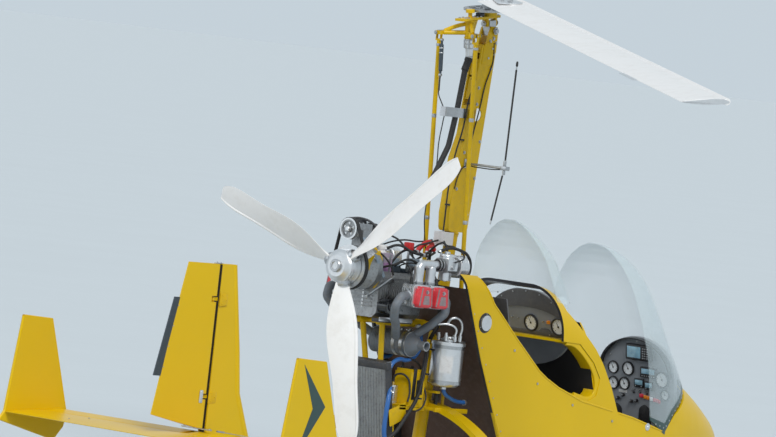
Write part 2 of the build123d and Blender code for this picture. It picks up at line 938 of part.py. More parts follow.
def head_frame():
    lug_x = gimbal_half[0] + 1.0
    lugs = [
        block((side * lug_x, side * (lug_x + 12)), (-16, 16), (roll_height - 14, bar_z[0])) for side in (-1, 1)
    ]
    bolt = round_bar((-lug_x - 20, 0, roll_height), (lug_x + 20, 0, roll_height), roll_bolt_radius)
    bar = block((-236, 52), (-26, 26), bar_z)
    bearing = Pos(0, 0, bar_z[1]) * Cylinder(36, 20, align=(Align.CENTER, Align.CENTER, Align.MIN))
    bearing = bearing - Cylinder(spindle_radius + running_fit, 400)
    pillar = round_bar((pillar_x, 0, starter_z[1]), (pillar_x, 0, bar_z[0]), 24)
    pinion_shaft = round_bar((pillar_x, 0, bar_z[1]), (pillar_x, 0, gear_z[0] - 2), 10)
    pinion = round_bar((pillar_x, 0, gear_z[0] - 2), (pillar_x, 0, gear_z[1] + 4), pinion_radius)
    arms = []
    for side in (-1, 1):
        arms.append(round_bar((pillar_x, 0, 0), (eye_x, side * (eye_y - fork_reach - 4), 0), 11))
    bar = bar - Cylinder(spindle_radius + running_fit, 400)
    frame = fuse(bar, bearing, bolt, *lugs, pillar, pinion_shaft, pinion, *arms)
    pins = [
        round_bar((eye_x - 30, side * eye_y, 0), (eye_x + 30, side * eye_y, 0), 5) for side in (-1, 1)
    ]
    forks = []
    for side in (-1, 1):
        for end in (-1, 1):
            forks.append(
                block(
                    (eye_x + end * 16, eye_x + end * 24), (side * (eye_y - fork_reach), side * (eye_y + 9)), (-9, 9)
                )
            )
        forks.append(
            block((eye_x - 24, eye_x + 24), (side * (eye_y - fork_reach - 8), side * (eye_y - fork_reach)), (-9, 9))
        )
    return head_plane * fuse(frame, *pins, *forks)


def starter_motor():
    # Tapers down to the flexible shaft
    reach = starter_z[1] - starter_z[0]
    middle = starter_z[1] - reach / 2
    cone = Pos(pillar_x, 0, middle) * Cone(starter_foot_radius, starter_radius, reach)
    return head_plane * cone


def rod_cross(side):
    y = side * eye_y
    ring = block((eye_x - cross_half, eye_x + cross_half), (y - cross_half, y + cross_half), (-cross_half, cross_half))
    pins = lateral_disc(eye_x, 0, (y - cross_half - 5, y + cross_half + 5), cross_pin_radius)
    ring = ring + pins - round_bar((eye_x - 40, y, 0), (eye_x + 40, y, 0), 5 + running_fit)
    return head_plane * ring


def rotor_spindle():
    shaft = round_bar((0, 0, bar_z[0] - 4), (0, 0, gear_z[0]), spindle_radius)
    gear = round_bar((0, 0, gear_z[0]), (0, 0, gear_z[1]), gear_radius)
    tower = []
    for side in (-1, 1):
        tower.append(
            block((-34, 34), (side * tower_gap, side * (tower_gap + 10)), (gear_z[1], teeter_height + 16))
        )
    base = block((-34, 34), (-tower_gap - 10, tower_gap + 10), (gear_z[1], gear_z[1] + 8))
    bolt = lateral_disc(0, teeter_height, (-tower_gap - 20, tower_gap + 20), teeter_bolt_radius)
    return head_plane * Rot(0, 0, rotor_heading) * fuse(shaft, gear, *tower, base, bolt)


hub_bar_half = 300.0
hub_bar_thick = 22.0


def hub_bar():
    bar = block(
        (-hub_bar_half, hub_bar_half), (-tower_gap + 2, tower_gap - 2),
        (hub_height - hub_bar_thick / 2, hub_height + hub_bar_thick / 2),
    )
    boss = block((-26, 26), (-tower_gap + 2, tower_gap - 2), (hub_height, teeter_height + 14))
    whole = bar + boss - lateral_disc(0, teeter_height, (-60, 60), teeter_bolt_radius + running_fit)
    return head_plane * Rot(0, 0, rotor_heading) * whole


def rotor_blades():
    section = Plane(origin=(rotor_root, 0, hub_height), x_dir=(0, 1, 0), z_dir=(1, 0, 0)) * aerofoil(
        rotor_chord, rotor_thick, 0.5
    )
    blade = extrude(section, amount=rotor_radius - rotor_root)
    slot = block(
        (-hub_bar_half, hub_bar_half), (-tower_gap + 2, tower_gap - 2),
        (hub_height - hub_bar_thick / 2, hub_height + hub_bar_thick / 2),
    )
    halves = [piece - slot for piece in (blade, Rot(0, 0, 180) * blade)]
    return head_plane * Rot(0, 0, rotor_heading) * Compound(children=halves)


push_rod_radius = 11.0
rod_foot = (-104.0, 1215.0)


def rod_eye(side):
    point = head_plane.from_local_coords((eye_x, side * eye_y, 0))
    return point


def push_rod(side):
    eye = rod_eye(side)
    foot = (rod_foot[0], side * (eye_y + 6), rod_foot[1])
    run = Vector(*foot) - eye
    start = eye + run.normalized() * 34
    rod = round_bar((start.X, start.Y, start.Z), foot, push_rod_radius)
    ends = []
    for edge in (-1, 1):
        ends.append(
            block(
                (eye.X - 7, eye.X + 7),
                (eye.Y + edge * 11, eye.Y + edge * 15),
                (eye.Z - 40, eye.Z + 9),
            )
        )
    bridge = block((eye.X - 7, eye.X + 7), (eye.Y - 15, eye.Y + 15), (eye.Z - 42, eye.Z - 32))
    bore = lateral_disc(eye.X, eye.Z, (eye.Y - 30, eye.Y + 30), cross_pin_radius + running_fit)
    return largest(fuse(rod, bridge, *ends) - bore)


# Tail


hinge_levels = (640.0, 1100.0)
hinge_half = 8.0
hinge_pin_radius = 5.0


def tail_fin():
    # level z, leading edge x, thickness
    levels = ((402, -1400, 50), (458, -1438, 48), (664, -1537, 44), (867, -1573, 40), (1267, -1660, 32))
    faces = []
    for z, lead_x, thick in levels:
        nose = lead_x
        tail = hinge_x + hinge_gap + thick / 2
        outline = make_face(
            Curve()
            + [
                ThreePointArc((nose - thick, -thick / 2), (nose, 0), (nose - thick, thick / 2)),
                Line((nose - thick, thick / 2), (tail, thick / 2)),
                Line((tail, thick / 2), (tail, -thick / 2)),
                Line((tail, -thick / 2), (nose - thick, -thick / 2)),
            ]
        )
        faces.append(Plane(origin=(0, 0, z)) * outline)
    whole = loft(faces, ruled=True) - keel_tube()
    for z in hinge_levels:
        arm = block((hinge_x - 12, hinge_x + 40), (-9, 9), (z - hinge_half, z + hinge_half))
        bore = round_bar((hinge_x, 0, z - 30), (hinge_x, 0, z + 30), hinge_pin_radius + running_fit)
        whole = whole + (arm - bore)
    return whole


rudder_top = 1265.0
rudder_foot = 492.0


# level z, trailing edge x, thickness
rudder_levels = ((rudder_foot, -2148, 44), (867, -2080, 40), (rudder_top, -1996, 32))
tab_outline = ((-2000, 1097), (-2069, 1097), (-2155, 725), (-2070, 725))


def trim_tab():
    return largest(side_plate(tab_outline, (-3, 3)) - rudder())


def rudder():
    faces = []
    for z, trail_x, thick in rudder_levels:
        half = thick / 2
        outline = make_face(
            Curve()
            + [
                ThreePointArc((hinge_x, -half), (hinge_x + half, 0), (hinge_x, half)),
                Line((hinge_x, half), (trail_x, 3)),
                Line((trail_x, 3), (trail_x, -3)),
                Line((trail_x, -3), (hinge_x, -half)),
            ]
        )
        faces.append(Plane(origin=(0, 0, z)) * outline)
    body = loft(faces, ruled=True)
    body = body - side_plate(
        ((hinge_x - 20, rudder_foot - 1), (-2200, rudder_foot + 60), (-2200, rudder_foot - 1)), (-60, 60)
    )
    for z in hinge_levels:
        half = hinge_half + swing_gap
        body = body - block((hinge_x - 26, hinge_x + 60), (-60, 60), (z - half, z + half))
        body = body + round_bar((hinge_x, 0, z - half), (hinge_x, 0, z + half), hinge_pin_radius)
    return body


stabiliser_thick = 34.0
skin = 4.0


def stabiliser():
    # half span, leading x, trailing x
    halves = []
    for inset in (0, skin):
        faces = []
        for y, lead_x, trail_x in ((-stabiliser_half_span, -1790, -2208), (0, -1760, -2208)):
            chord = lead_x - trail_x
            plane = Plane(origin=(lead_x - chord * 0.25, y, stabiliser_z), x_dir=(1, 0, 0), z_dir=(0, 1, 0))
            faces.append(plane * aerofoil(chord - inset * 16, stabiliser_thick - 2 * inset))
        halves.append(loft(faces, ruled=True))
    half = halves[0] - halves[1]
    whole = half + mirror(half, about=Plane.XZ)
    saddle = block((-2060, -1800), (-34, 34), (keel_z + 10, stabiliser_z))
    return largest(whole + saddle - keel_tube() - tail_fin())


end_fin_outline = (
    (-2150, 908),
    (-1949, 900),
    (-1772, 447),
    (-1791, 387),
    (-1848, 325),
    (-2238, 408),
    (-2208, 447),
)


def end_fins():
    plate = side_plate(end_fin_outline, (stabiliser_half_span, stabiliser_half_span + end_fin_thick))
    return Compound(children=[plate, mirror(plate, about=Plane.XZ)])


# Undercarriage


def leaf_leg():
    x = main_wheel["x"]
    end_y = main_wheel["y"] - main_wheel["width"] / 2 - 28
    end_z = main_wheel["radius"] + 22
    outer = ThreePointArc((-end_y, end_z), (0, leaf_crown_z), (end_y, end_z))
    inner = ThreePointArc((end_y, end_z - leaf_thick * 1.2), (0, leaf_crown_z - leaf_thick), (-end_y, end_z - leaf_thick * 1.2))
    outline = make_face(
        Curve()
        + [outer, Line((end_y, end_z), (end_y, end_z - leaf_thick * 1.2)), inner,
           Line((-end_y, end_z - leaf_thick * 1.2), (-end_y, end_z))]
    )
    plane = Plane(origin=(x - leaf_width / 2, 0, 0), x_dir=(0, 1, 0), z_dir=(1, 0, 0))
    return extrude(plane * outline, amount=leaf_width)


def stub_axles():
    shapes = []
    for side in (-1, 1):
        inner_y = main_wheel["y"] - main_wheel["width"] / 2 - 28
        outer_y = main_wheel["y"] + main_wheel["width"] / 2 + 6
        axle = lateral_disc(
            main_wheel["x"], main_wheel["radius"], (side * inner_y, side * outer_y), axle_radius
        )
        plate = block(
            (main_wheel["x"] - 34, main_wheel["x"] + 34),
            (side * inner_y, side * (inner_y + 10)),
            (main_wheel["radius"] - 30, main_wheel["radius"] + 32),
        )
        nut = lateral_disc(
            main_wheel["x"], main_wheel["radius"], (side * outer_y, side * (outer_y + 12)), axle_radius + 7
        )
        shapes.append(fuse(axle, plate, nut))
    return Compound(children=shapes)


# tyre section: share of the depth from the rim out, share of the half width
tyre_section = ((0.0, 0.80), (0.35, 1.0), (0.74, 0.94), (0.94, 0.66), (1.0, 0.30))
tyre_sides = 48


def tyre(wheel, z):
    # A ring of flat facets, so that the tread can be laid over it
    depth = wheel["radius"] - wheel["rim"]
    half = wheel["width"] / 2
    near = [(wheel["rim"] + depth * out, half * wide) for out, wide in tyre_section]
    outline = near + [(radius, -wide) for radius, wide in reversed(near)]
    rings = []
    for radius, wide in outline:
        ring = RegularPolygon(radius, tyre_sides, major_radius=False, rotation=180 / tyre_sides)
        rings.append(Pos(0, wide, 0) * Rot(90, 0, 0) * ring)
    body = None
    for radius_ring, next_ring in zip(rings, rings[1:]):
        slab = loft([radius_ring, next_ring], ruled=True)
        body = slab if body is None else body + slab
    hole = lateral_disc(0, 0, (-half - 1, half + 1), wheel["rim"])
    return Pos(wheel["x"], wheel["y"], z) * (body - hole)


def rim(wheel, z, hub_half):
    half = wheel["width"] / 2
    bore = axle_radius + running_fit
    outline = make_face(
        Polyline(
            (bore, -hub_half), (bore + 16, -hub_half), (bore + 16, -8), (wheel["rim"] - 14, -8),
            (wheel["rim"] - 14, -half * 0.86), (wheel["rim"], -half * 0.86), (wheel["rim"], half * 0.86),
            (wheel["rim"] - 14, half * 0.86), (wheel["rim"] - 14, 8), (bore + 16, 8), (bore + 16, hub_half),
            (bore, hub_half), close=True,
        )
    )
    return Pos(wheel["x"], wheel["y"], z) * revolve(outline, Axis.Y)


def wheel_on_side(wheel, side):
    turned = dict(wheel)
    turned["y"] = side * wheel["y"]
    return turned


fork_crown_z = 2 * nose_wheel["radius"] + 22


def nose_fork():
    x, z = nose_wheel["x"], nose_wheel["radius"]
    leg_y = nose_wheel["width"] / 2 + 12
    legs = [
        side_plate(
            ((x - 14, z - 14), (x + 14, z - 14), (nose_pivot_x + 24, fork_crown_z), (nose_pivot_x - 24, fork_crown_z)),
            (side * leg_y - 5, side * leg_y + 5),
        )
        for side in (-1, 1)
    ]
    crown = block((nose_pivot_x - 24, nose_pivot_x + 24), (-leg_y - 5, leg_y + 5), (fork_crown_z - 12, fork_crown_z))
    kingpin = round_bar((nose_pivot_x, 0, fork_crown_z - 6), (nose_pivot_x, 0, fork_crown_z + 90), kingpin_radius)
    axle = lateral_disc(x, z, (-leg_y - 8, leg_y + 8), axle_radius)
    tow_bore = lateral_disc(x, z, (-leg_y - 9, leg_y + 9), tow_bore_radius)
    return fuse(*legs, crown, kingpin, axle) - tow_bore


def kingpin_housing():
    low = pod_floor(nose_pivot_x)
    tube = round_bar((nose_pivot_x, 0, low), (nose_pivot_x, 0, fork_crown_z + 84), kingpin_radius + 10)
    return (tube - round_bar((nose_pivot_x, 0, low - 20), (nose_pivot_x, 0, low + 300), kingpin_radius + running_fit)) & pod_inner


def tail_wheel_fork():
    x, z = tail_wheel["x"], tail_wheel["radius"] + tail_wheel_lift
    leg_y = tail_wheel["width"] / 2 + 8
    legs = [
        side_plate(
            ((x - 12, z - 12), (x + 12, z - 12), (x + 40, keel_z - keel_radius + 4), (x - 4, keel_z - keel_radius + 4)),
            (side * leg_y - 3, side * leg_y + 3),
        )
        for side in (-1, 1)
    ]
    crown = block((x - 4, x + 40), (-leg_y - 3, leg_y + 3), (keel_z - keel_radius - 8, keel_z - 6))
    axle = lateral_disc(x, z, (-leg_y, leg_y), 6)
    return fuse(*legs, crown, axle) - keel_tube()


def tail_rim():
    z = tail_wheel["radius"] + tail_wheel_lift
    half = tail_wheel["width"] / 2
    disc = lateral_disc(tail_wheel["x"], z, (-half, half), tail_wheel["rim"])
    return disc - lateral_disc(tail_wheel["x"], z, (-half - 1, half + 1), 6 + running_fit)


antenna_z = 1848.0


shaft_bracket_x = (-262.0, -60.0)
shaft_bracket_z = (2066.0, 2112.0)


def mast_fittings():
    arm = round_bar((-72, -mast_width / 2, antenna_z), (-72, -276, antenna_z), 6)
    whip = pipe(((-130, -270, 1573), (-72, -270, antenna_z), (-69, -270, 2353)), 3.5, 200)
    bracket = block(shaft_bracket_x, (-16, 16), shaft_bracket_z) - mast_block()
    channel = block((shaft_bracket_x[0] + 6, shaft_bracket_x[0] + 96), (-12, 17), (shaft_bracket_z[0] + 4, shaft_bracket_z[1] - 4))
    bracket = largest(bracket - channel - flexible_shaft(seat_gap))
    return Compound(children=[arm + whip, bracket])


nodes = {
    "fuselage_pod": fuselage_pod,
    "filler_cap": filler_cap,
    "firewall": firewall,
    "front_seat_fairing": front_seat_fairing,
    "front_windshield": front_windshield,
    "rear_windshield": rear_windshield,
    "instrument_panels": lambda: together(front_panel(), rear_panel()),
    "seat_cushions": lambda: together(*(seat_cushions(name) for name in seat_places)),
    "seat_shells": lambda: together(seat_pans(), rear_seat_back()),
    "control_sticks": control_sticks,
    "rudder_pedals": rudder_pedals,
    "mast": mast,
    "engine_frame": engine_frame,
    "crankcase": crankcase,
    "cylinders": cylinders,
    "valve_covers": valve_covers,
    "gearbox": gearbox,
    "intake_runners": intake_runners,
    "carburettors": carburettors,
    "exhaust_pipes": exhaust_pipes,
    "muffler": muffler,
    "oil_tank": oil_tank,
    "oil_filter": oil_filter,
    "coolant_bottle": coolant_bottle,
    "radiator": radiator,
    "battery_box": battery_box,
    "electrics_box": electrics_box,
    "fuel_pump": fuel_pump,
    "prerotator_drive": prerotator_drive,
    "flexible_shaft": flexible_shaft,
    "mast_fittings": mast_fittings,
    "leaf_leg": leaf_leg,
    "stub_axles": stub_axles,
    "kingpin_housing": kingpin_housing,
    "stabiliser": stabiliser,
    "fins": lambda: together(tail_fin(), end_fins()),
    "tail_wheel_fork": tail_wheel_fork,
    "rudder": rudder,
    "trim_tab": trim_tab,
    "prop_hub": prop_hub,
    "prop_blades": prop_blades,
    "gimbal_block": gimbal_block,
    "head_frame": head_frame,
    "starter_motor": starter_motor,
    "rod_cross_left": lambda: rod_cross(1),
    "rod_cross_right": lambda: rod_cross(-1),
    "push_rod_left": lambda: push_rod(1),
    "push_rod_right": lambda: push_rod(-1),
    "rotor_spindle": rotor_spindle,
    "hub_bar": hub_bar,
    "rotor_blades": rotor_blades,
    "nose_fork": nose_fork,
    "nose_tyre": lambda: tyre(nose_wheel, nose_wheel["radius"]),
    "nose_rim": lambda: rim(nose_wheel, nose_wheel["radius"], 50),
    "main_tyre_left": lambda: tyre(main_wheel, main_wheel["radius"]),
    "main_rim_left": lambda: rim(main_wheel, main_wheel["radius"], 55),
    "main_tyre_right": lambda: tyre(wheel_on_side(main_wheel, -1), main_wheel["radius"]),
    "main_rim_right": lambda: rim(wheel_on_side(main_wheel, -1), main_wheel["radius"], 55),
    "tail_tyre": lambda: tyre(tail_wheel, tail_wheel["radius"] + tail_wheel_lift),
    "tail_rim": tail_rim,
}

os.makedirs("parts", exist_ok=True)
for name, make in nodes.items():
    shape = make()
    export_step(shape, f"parts/{name}.step")
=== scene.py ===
import math

import bmesh
import bpy
from mathutils import Matrix, Vector
from mathutils.bvhtree import BVHTree


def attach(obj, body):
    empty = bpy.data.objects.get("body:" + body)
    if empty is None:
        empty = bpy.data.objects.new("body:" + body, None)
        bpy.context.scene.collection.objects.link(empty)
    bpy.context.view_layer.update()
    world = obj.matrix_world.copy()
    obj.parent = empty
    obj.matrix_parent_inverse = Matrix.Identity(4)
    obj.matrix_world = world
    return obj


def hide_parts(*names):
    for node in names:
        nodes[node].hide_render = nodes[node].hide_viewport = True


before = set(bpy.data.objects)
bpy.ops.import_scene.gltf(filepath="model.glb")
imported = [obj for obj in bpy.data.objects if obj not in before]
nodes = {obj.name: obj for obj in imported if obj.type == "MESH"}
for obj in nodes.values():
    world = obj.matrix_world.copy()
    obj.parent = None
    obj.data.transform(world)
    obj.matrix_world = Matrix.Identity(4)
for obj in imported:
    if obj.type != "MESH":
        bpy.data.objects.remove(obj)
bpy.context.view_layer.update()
print("frame loaded", len(nodes), "nodes")


# Camera, light and floor

view = {
    "place": (-25.5229, -20.3864, 2.361),
    "aim": (-0.7541, -0.1415, 1.5514),
    "roll": 6.8113,
    "lens": 310.268,
    "sensor": 36.0,
    "farthest": 4000.0,
    "floorHalf": 1500.0,
    "skyStrength": 0.50,
    "skyLow": (0.45, (0.55, 0.55, 0.53, 1)),
    "skyHigh": (0.75, (1.0, 1.0, 1.0, 1)),
    "backdrop": (0.56, 0.64, 0.70, 1.0),
}

# direction, strength, angle and colour
suns = {
    "keyLight": ((0.55, 0.75, -0.9), 2.1, 24.0, (1.0, 0.985, 0.95)),
    "fillLight": ((0.8, -0.5, -0.35), 0.462, 50.0, (0.93, 0.96, 1.0)),
}


def setInputs(node, values):
    for key, value in values.items():
        node.inputs[key].default_value = value


def addNode(tree, kind, values=None, **settings):
    node = tree.nodes.new(kind)
    for key, value in settings.items():
        setattr(node, key, value)
    setInputs(node, values or {})
    return node


def joinNodes(tree, *rows):
    # Rows: a node and its output, a node and its input
    for start, output, end, entry in rows:
        tree.links.new(start.outputs[output], end.inputs[entry])


def makeCamera():
    data = bpy.data.cameras.new("camera")
    data.lens = view["lens"]
    data.sensor_width = view["sensor"]
    data.clip_end = view["farthest"]
    camera = bpy.data.objects.new("camera", data)
    look = Vector(view["aim"]) - Vector(view["place"])
    turn = look.to_track_quat("-Z", "Y").to_matrix().to_4x4()
    roll = Matrix.Rotation(math.radians(view["roll"]), 4, "Z")
    camera.matrix_world = Matrix.Translation(view["place"]) @ turn @ roll
    bpy.context.scene.collection.objects.link(camera)
    bpy.context.scene.camera = camera


def makeSky():
    # An even backdrop where it is seen, mirrored or looked at through glass, and a soft light elsewhere
    world = bpy.data.worlds.new("sky")
    world.use_nodes = True
    bpy.context.scene.world = world
    tree = world.node_tree
    tree.nodes.clear()
    output = addNode(tree, "ShaderNodeOutputWorld")
    mix = addNode(tree, "ShaderNodeMixShader")
    path = addNode(tree, "ShaderNodeLightPath")
    pale = addNode(tree, "ShaderNodeBackground", {"Color": view["backdrop"]})
    soft = addNode(tree, "ShaderNodeBackground", {"Strength": view["skyStrength"]})
    mirrored = addNode(tree, "ShaderNodeMath", operation="MAXIMUM")
    seen = addNode(tree, "ShaderNodeMath", operation="MAXIMUM")
    place = addNode(tree, "ShaderNodeTexCoord")
    split = addNode(tree, "ShaderNodeSeparateXYZ")
    half = addNode(tree, "ShaderNodeMapRange", {"From Min": -1.0})
    ramp = addNode(tree, "ShaderNodeValToRGB")
    for element, (position, colour) in zip(ramp.color_ramp.elements, (view["skyLow"], view["skyHigh"])):
        element.position = position
        element.color = colour
    joinNodes(
        tree, (place, "Generated", split, "Vector"), (split, "Z", half, "Value"),
        (half, "Result", ramp, "Fac"), (ramp, "Color", soft, "Color"), (path, "Is Glossy Ray", mirrored, 0),
        (path, "Is Transmission Ray", mirrored, 1), (path, "Is Camera Ray", seen, 0),
        (mirrored, "Value", seen, 1), (seen, "Value", mix, "Fac"), (soft, "Background", mix, 1),
        (pale, "Background", mix, 2), (mix, "Shader", output, "Surface"),
    )


def makeSun(name, direction, strength, angle, colour):
    data = bpy.data.lights.new(name, "SUN")
    data.energy = strength
    data.angle = math.radians(angle)
    data.color = colour
    lamp = bpy.data.objects.new(name, data)
    lamp.rotation_euler = Vector(direction).to_track_quat("-Z", "Y").to_euler()
    bpy.context.scene.collection.objects.link(lamp)


bpy.context.scene.view_settings.view_transform = "Standard"
makeCamera()
makeSky()
for name, row in suns.items():
    makeSun(name, *row)


# Materials

surfaceSockets = (
    ("Base", "NodeSocketColor"), ("Dirt", "NodeSocketColor"), ("Variation", "NodeSocketFloat"),
    ("Dirt Amount", "NodeSocketFloat"), ("Scale", "NodeSocketFloat"), ("Roughness", "NodeSocketFloat"),
    ("Bump Scale", "NodeSocketFloat"), ("Bump Strength", "NodeSocketFloat"),
)


def wornGroup():
    # Colour with slow variation and dirt, matching roughness, and a fine bump
    tree = bpy.data.node_groups.new("wornSurface", "ShaderNodeTree")
    for name, kind in surfaceSockets:
        tree.interface.new_socket(name, in_out="INPUT", socket_type=kind)
    for name, kind in (("Color", "NodeSocketColor"), ("Roughness", "NodeSocketFloat"),
                       ("Normal", "NodeSocketVector")):
        tree.interface.new_socket(name, in_out="OUTPUT", socket_type=kind)
    source = addNode(tree, "NodeGroupInput")
    sink = addNode(tree, "NodeGroupOutput")
    place = addNode(tree, "ShaderNodeTexCoord")
    # base colour made darker or lighter around itself
    slow = addNode(tree, "ShaderNodeTexNoise", {"Detail": 4.0})
    spread = addNode(tree, "ShaderNodeMapRange",
                     {"From Min": 0.3, "From Max": 0.7, "To Min": -1.0, "To Max": 1.0})
    amount = addNode(tree, "ShaderNodeMath", {2: 1.0}, operation="MULTIPLY_ADD")
    tint = addNode(tree, "ShaderNodeVectorMath", operation="SCALE")
    # dirt in finer spots
    faster = addNode(tree, "ShaderNodeMath", {1: 6.3}, operation="MULTIPLY")
    quick = addNode(tree, "ShaderNodeTexNoise", {"Detail": 8.0, "Roughness": 0.65})
    spots = addNode(tree, "ShaderNodeMapRange", {"From Min": 0.48, "From Max": 0.72})
    grime = addNode(tree, "ShaderNodeMath", operation="MULTIPLY")
    soil = addNode(tree, "ShaderNodeMix", data_type="RGBA")
    rough = addNode(tree, "ShaderNodeMath", {1: 0.3}, operation="MULTIPLY_ADD", use_clamp=True)
    grain = addNode(tree, "ShaderNodeTexNoise", {"Detail": 3.0})
    bump = addNode(tree, "ShaderNodeBump", {"Distance": 0.001})
    joinNodes(
        tree, (place, "Object", slow, "Vector"), (source, "Scale", slow, "Scale"),
        (slow, "Fac", spread, "Value"), (spread, "Result", amount, 0), (source, "Variation", amount, 1),
        (source, "Base", tint, 0), (amount, "Value", tint, "Scale"), (source, "Scale", faster, 0),
        (faster, "Value", quick, "Scale"), (place, "Object", quick, "Vector"), (quick, "Fac", spots, "Value"),
        (spots, "Result", grime, 0), (source, "Dirt Amount", grime, 1), (grime, "Value", soil, "Factor"),
        (tint, "Vector", soil, "A"), (source, "Dirt", soil, "B"), (soil, "Result", sink, "Color"),
        (grime, "Value", rough, 0), (source, "Roughness", rough, 2), (rough, "Value", sink, "Roughness"),
        (place, "Object", grain, "Vector"), (source, "Bump Scale", grain, "Scale"),
        (grain, "Fac", bump, "Height"), (source, "Bump Strength", bump, "Strength"),
        (bump, "Normal", sink, "Normal"),
    )
    return tree


wornSurface = wornGroup()


def rgb(red, green, blue):
    return (red, green, blue, 1.0)


def startMaterial(name, shader):
    material = bpy.data.materials.new(name)
    material.use_nodes = True
    tree = material.node_tree
    principled = tree.nodes["Principled BSDF"]
    setInputs(principled, shader)
    return material, tree, principled


def makeMaterial(name, base, dirt, numbers, shader):
    material, tree, principled = startMaterial(name, shader)
    group = addNode(tree, "ShaderNodeGroup", node_tree=wornSurface)
    for (socket, kind), value in zip(surfaceSockets, (rgb(*base), rgb(*dirt), *numbers)):
        group.inputs[socket].default_value = value
    joinNodes(tree, (group, "Color", principled, "Base Color"), (group, "Roughness", principled, "Roughness"),
              (group, "Normal", principled, "Normal"))
    return material


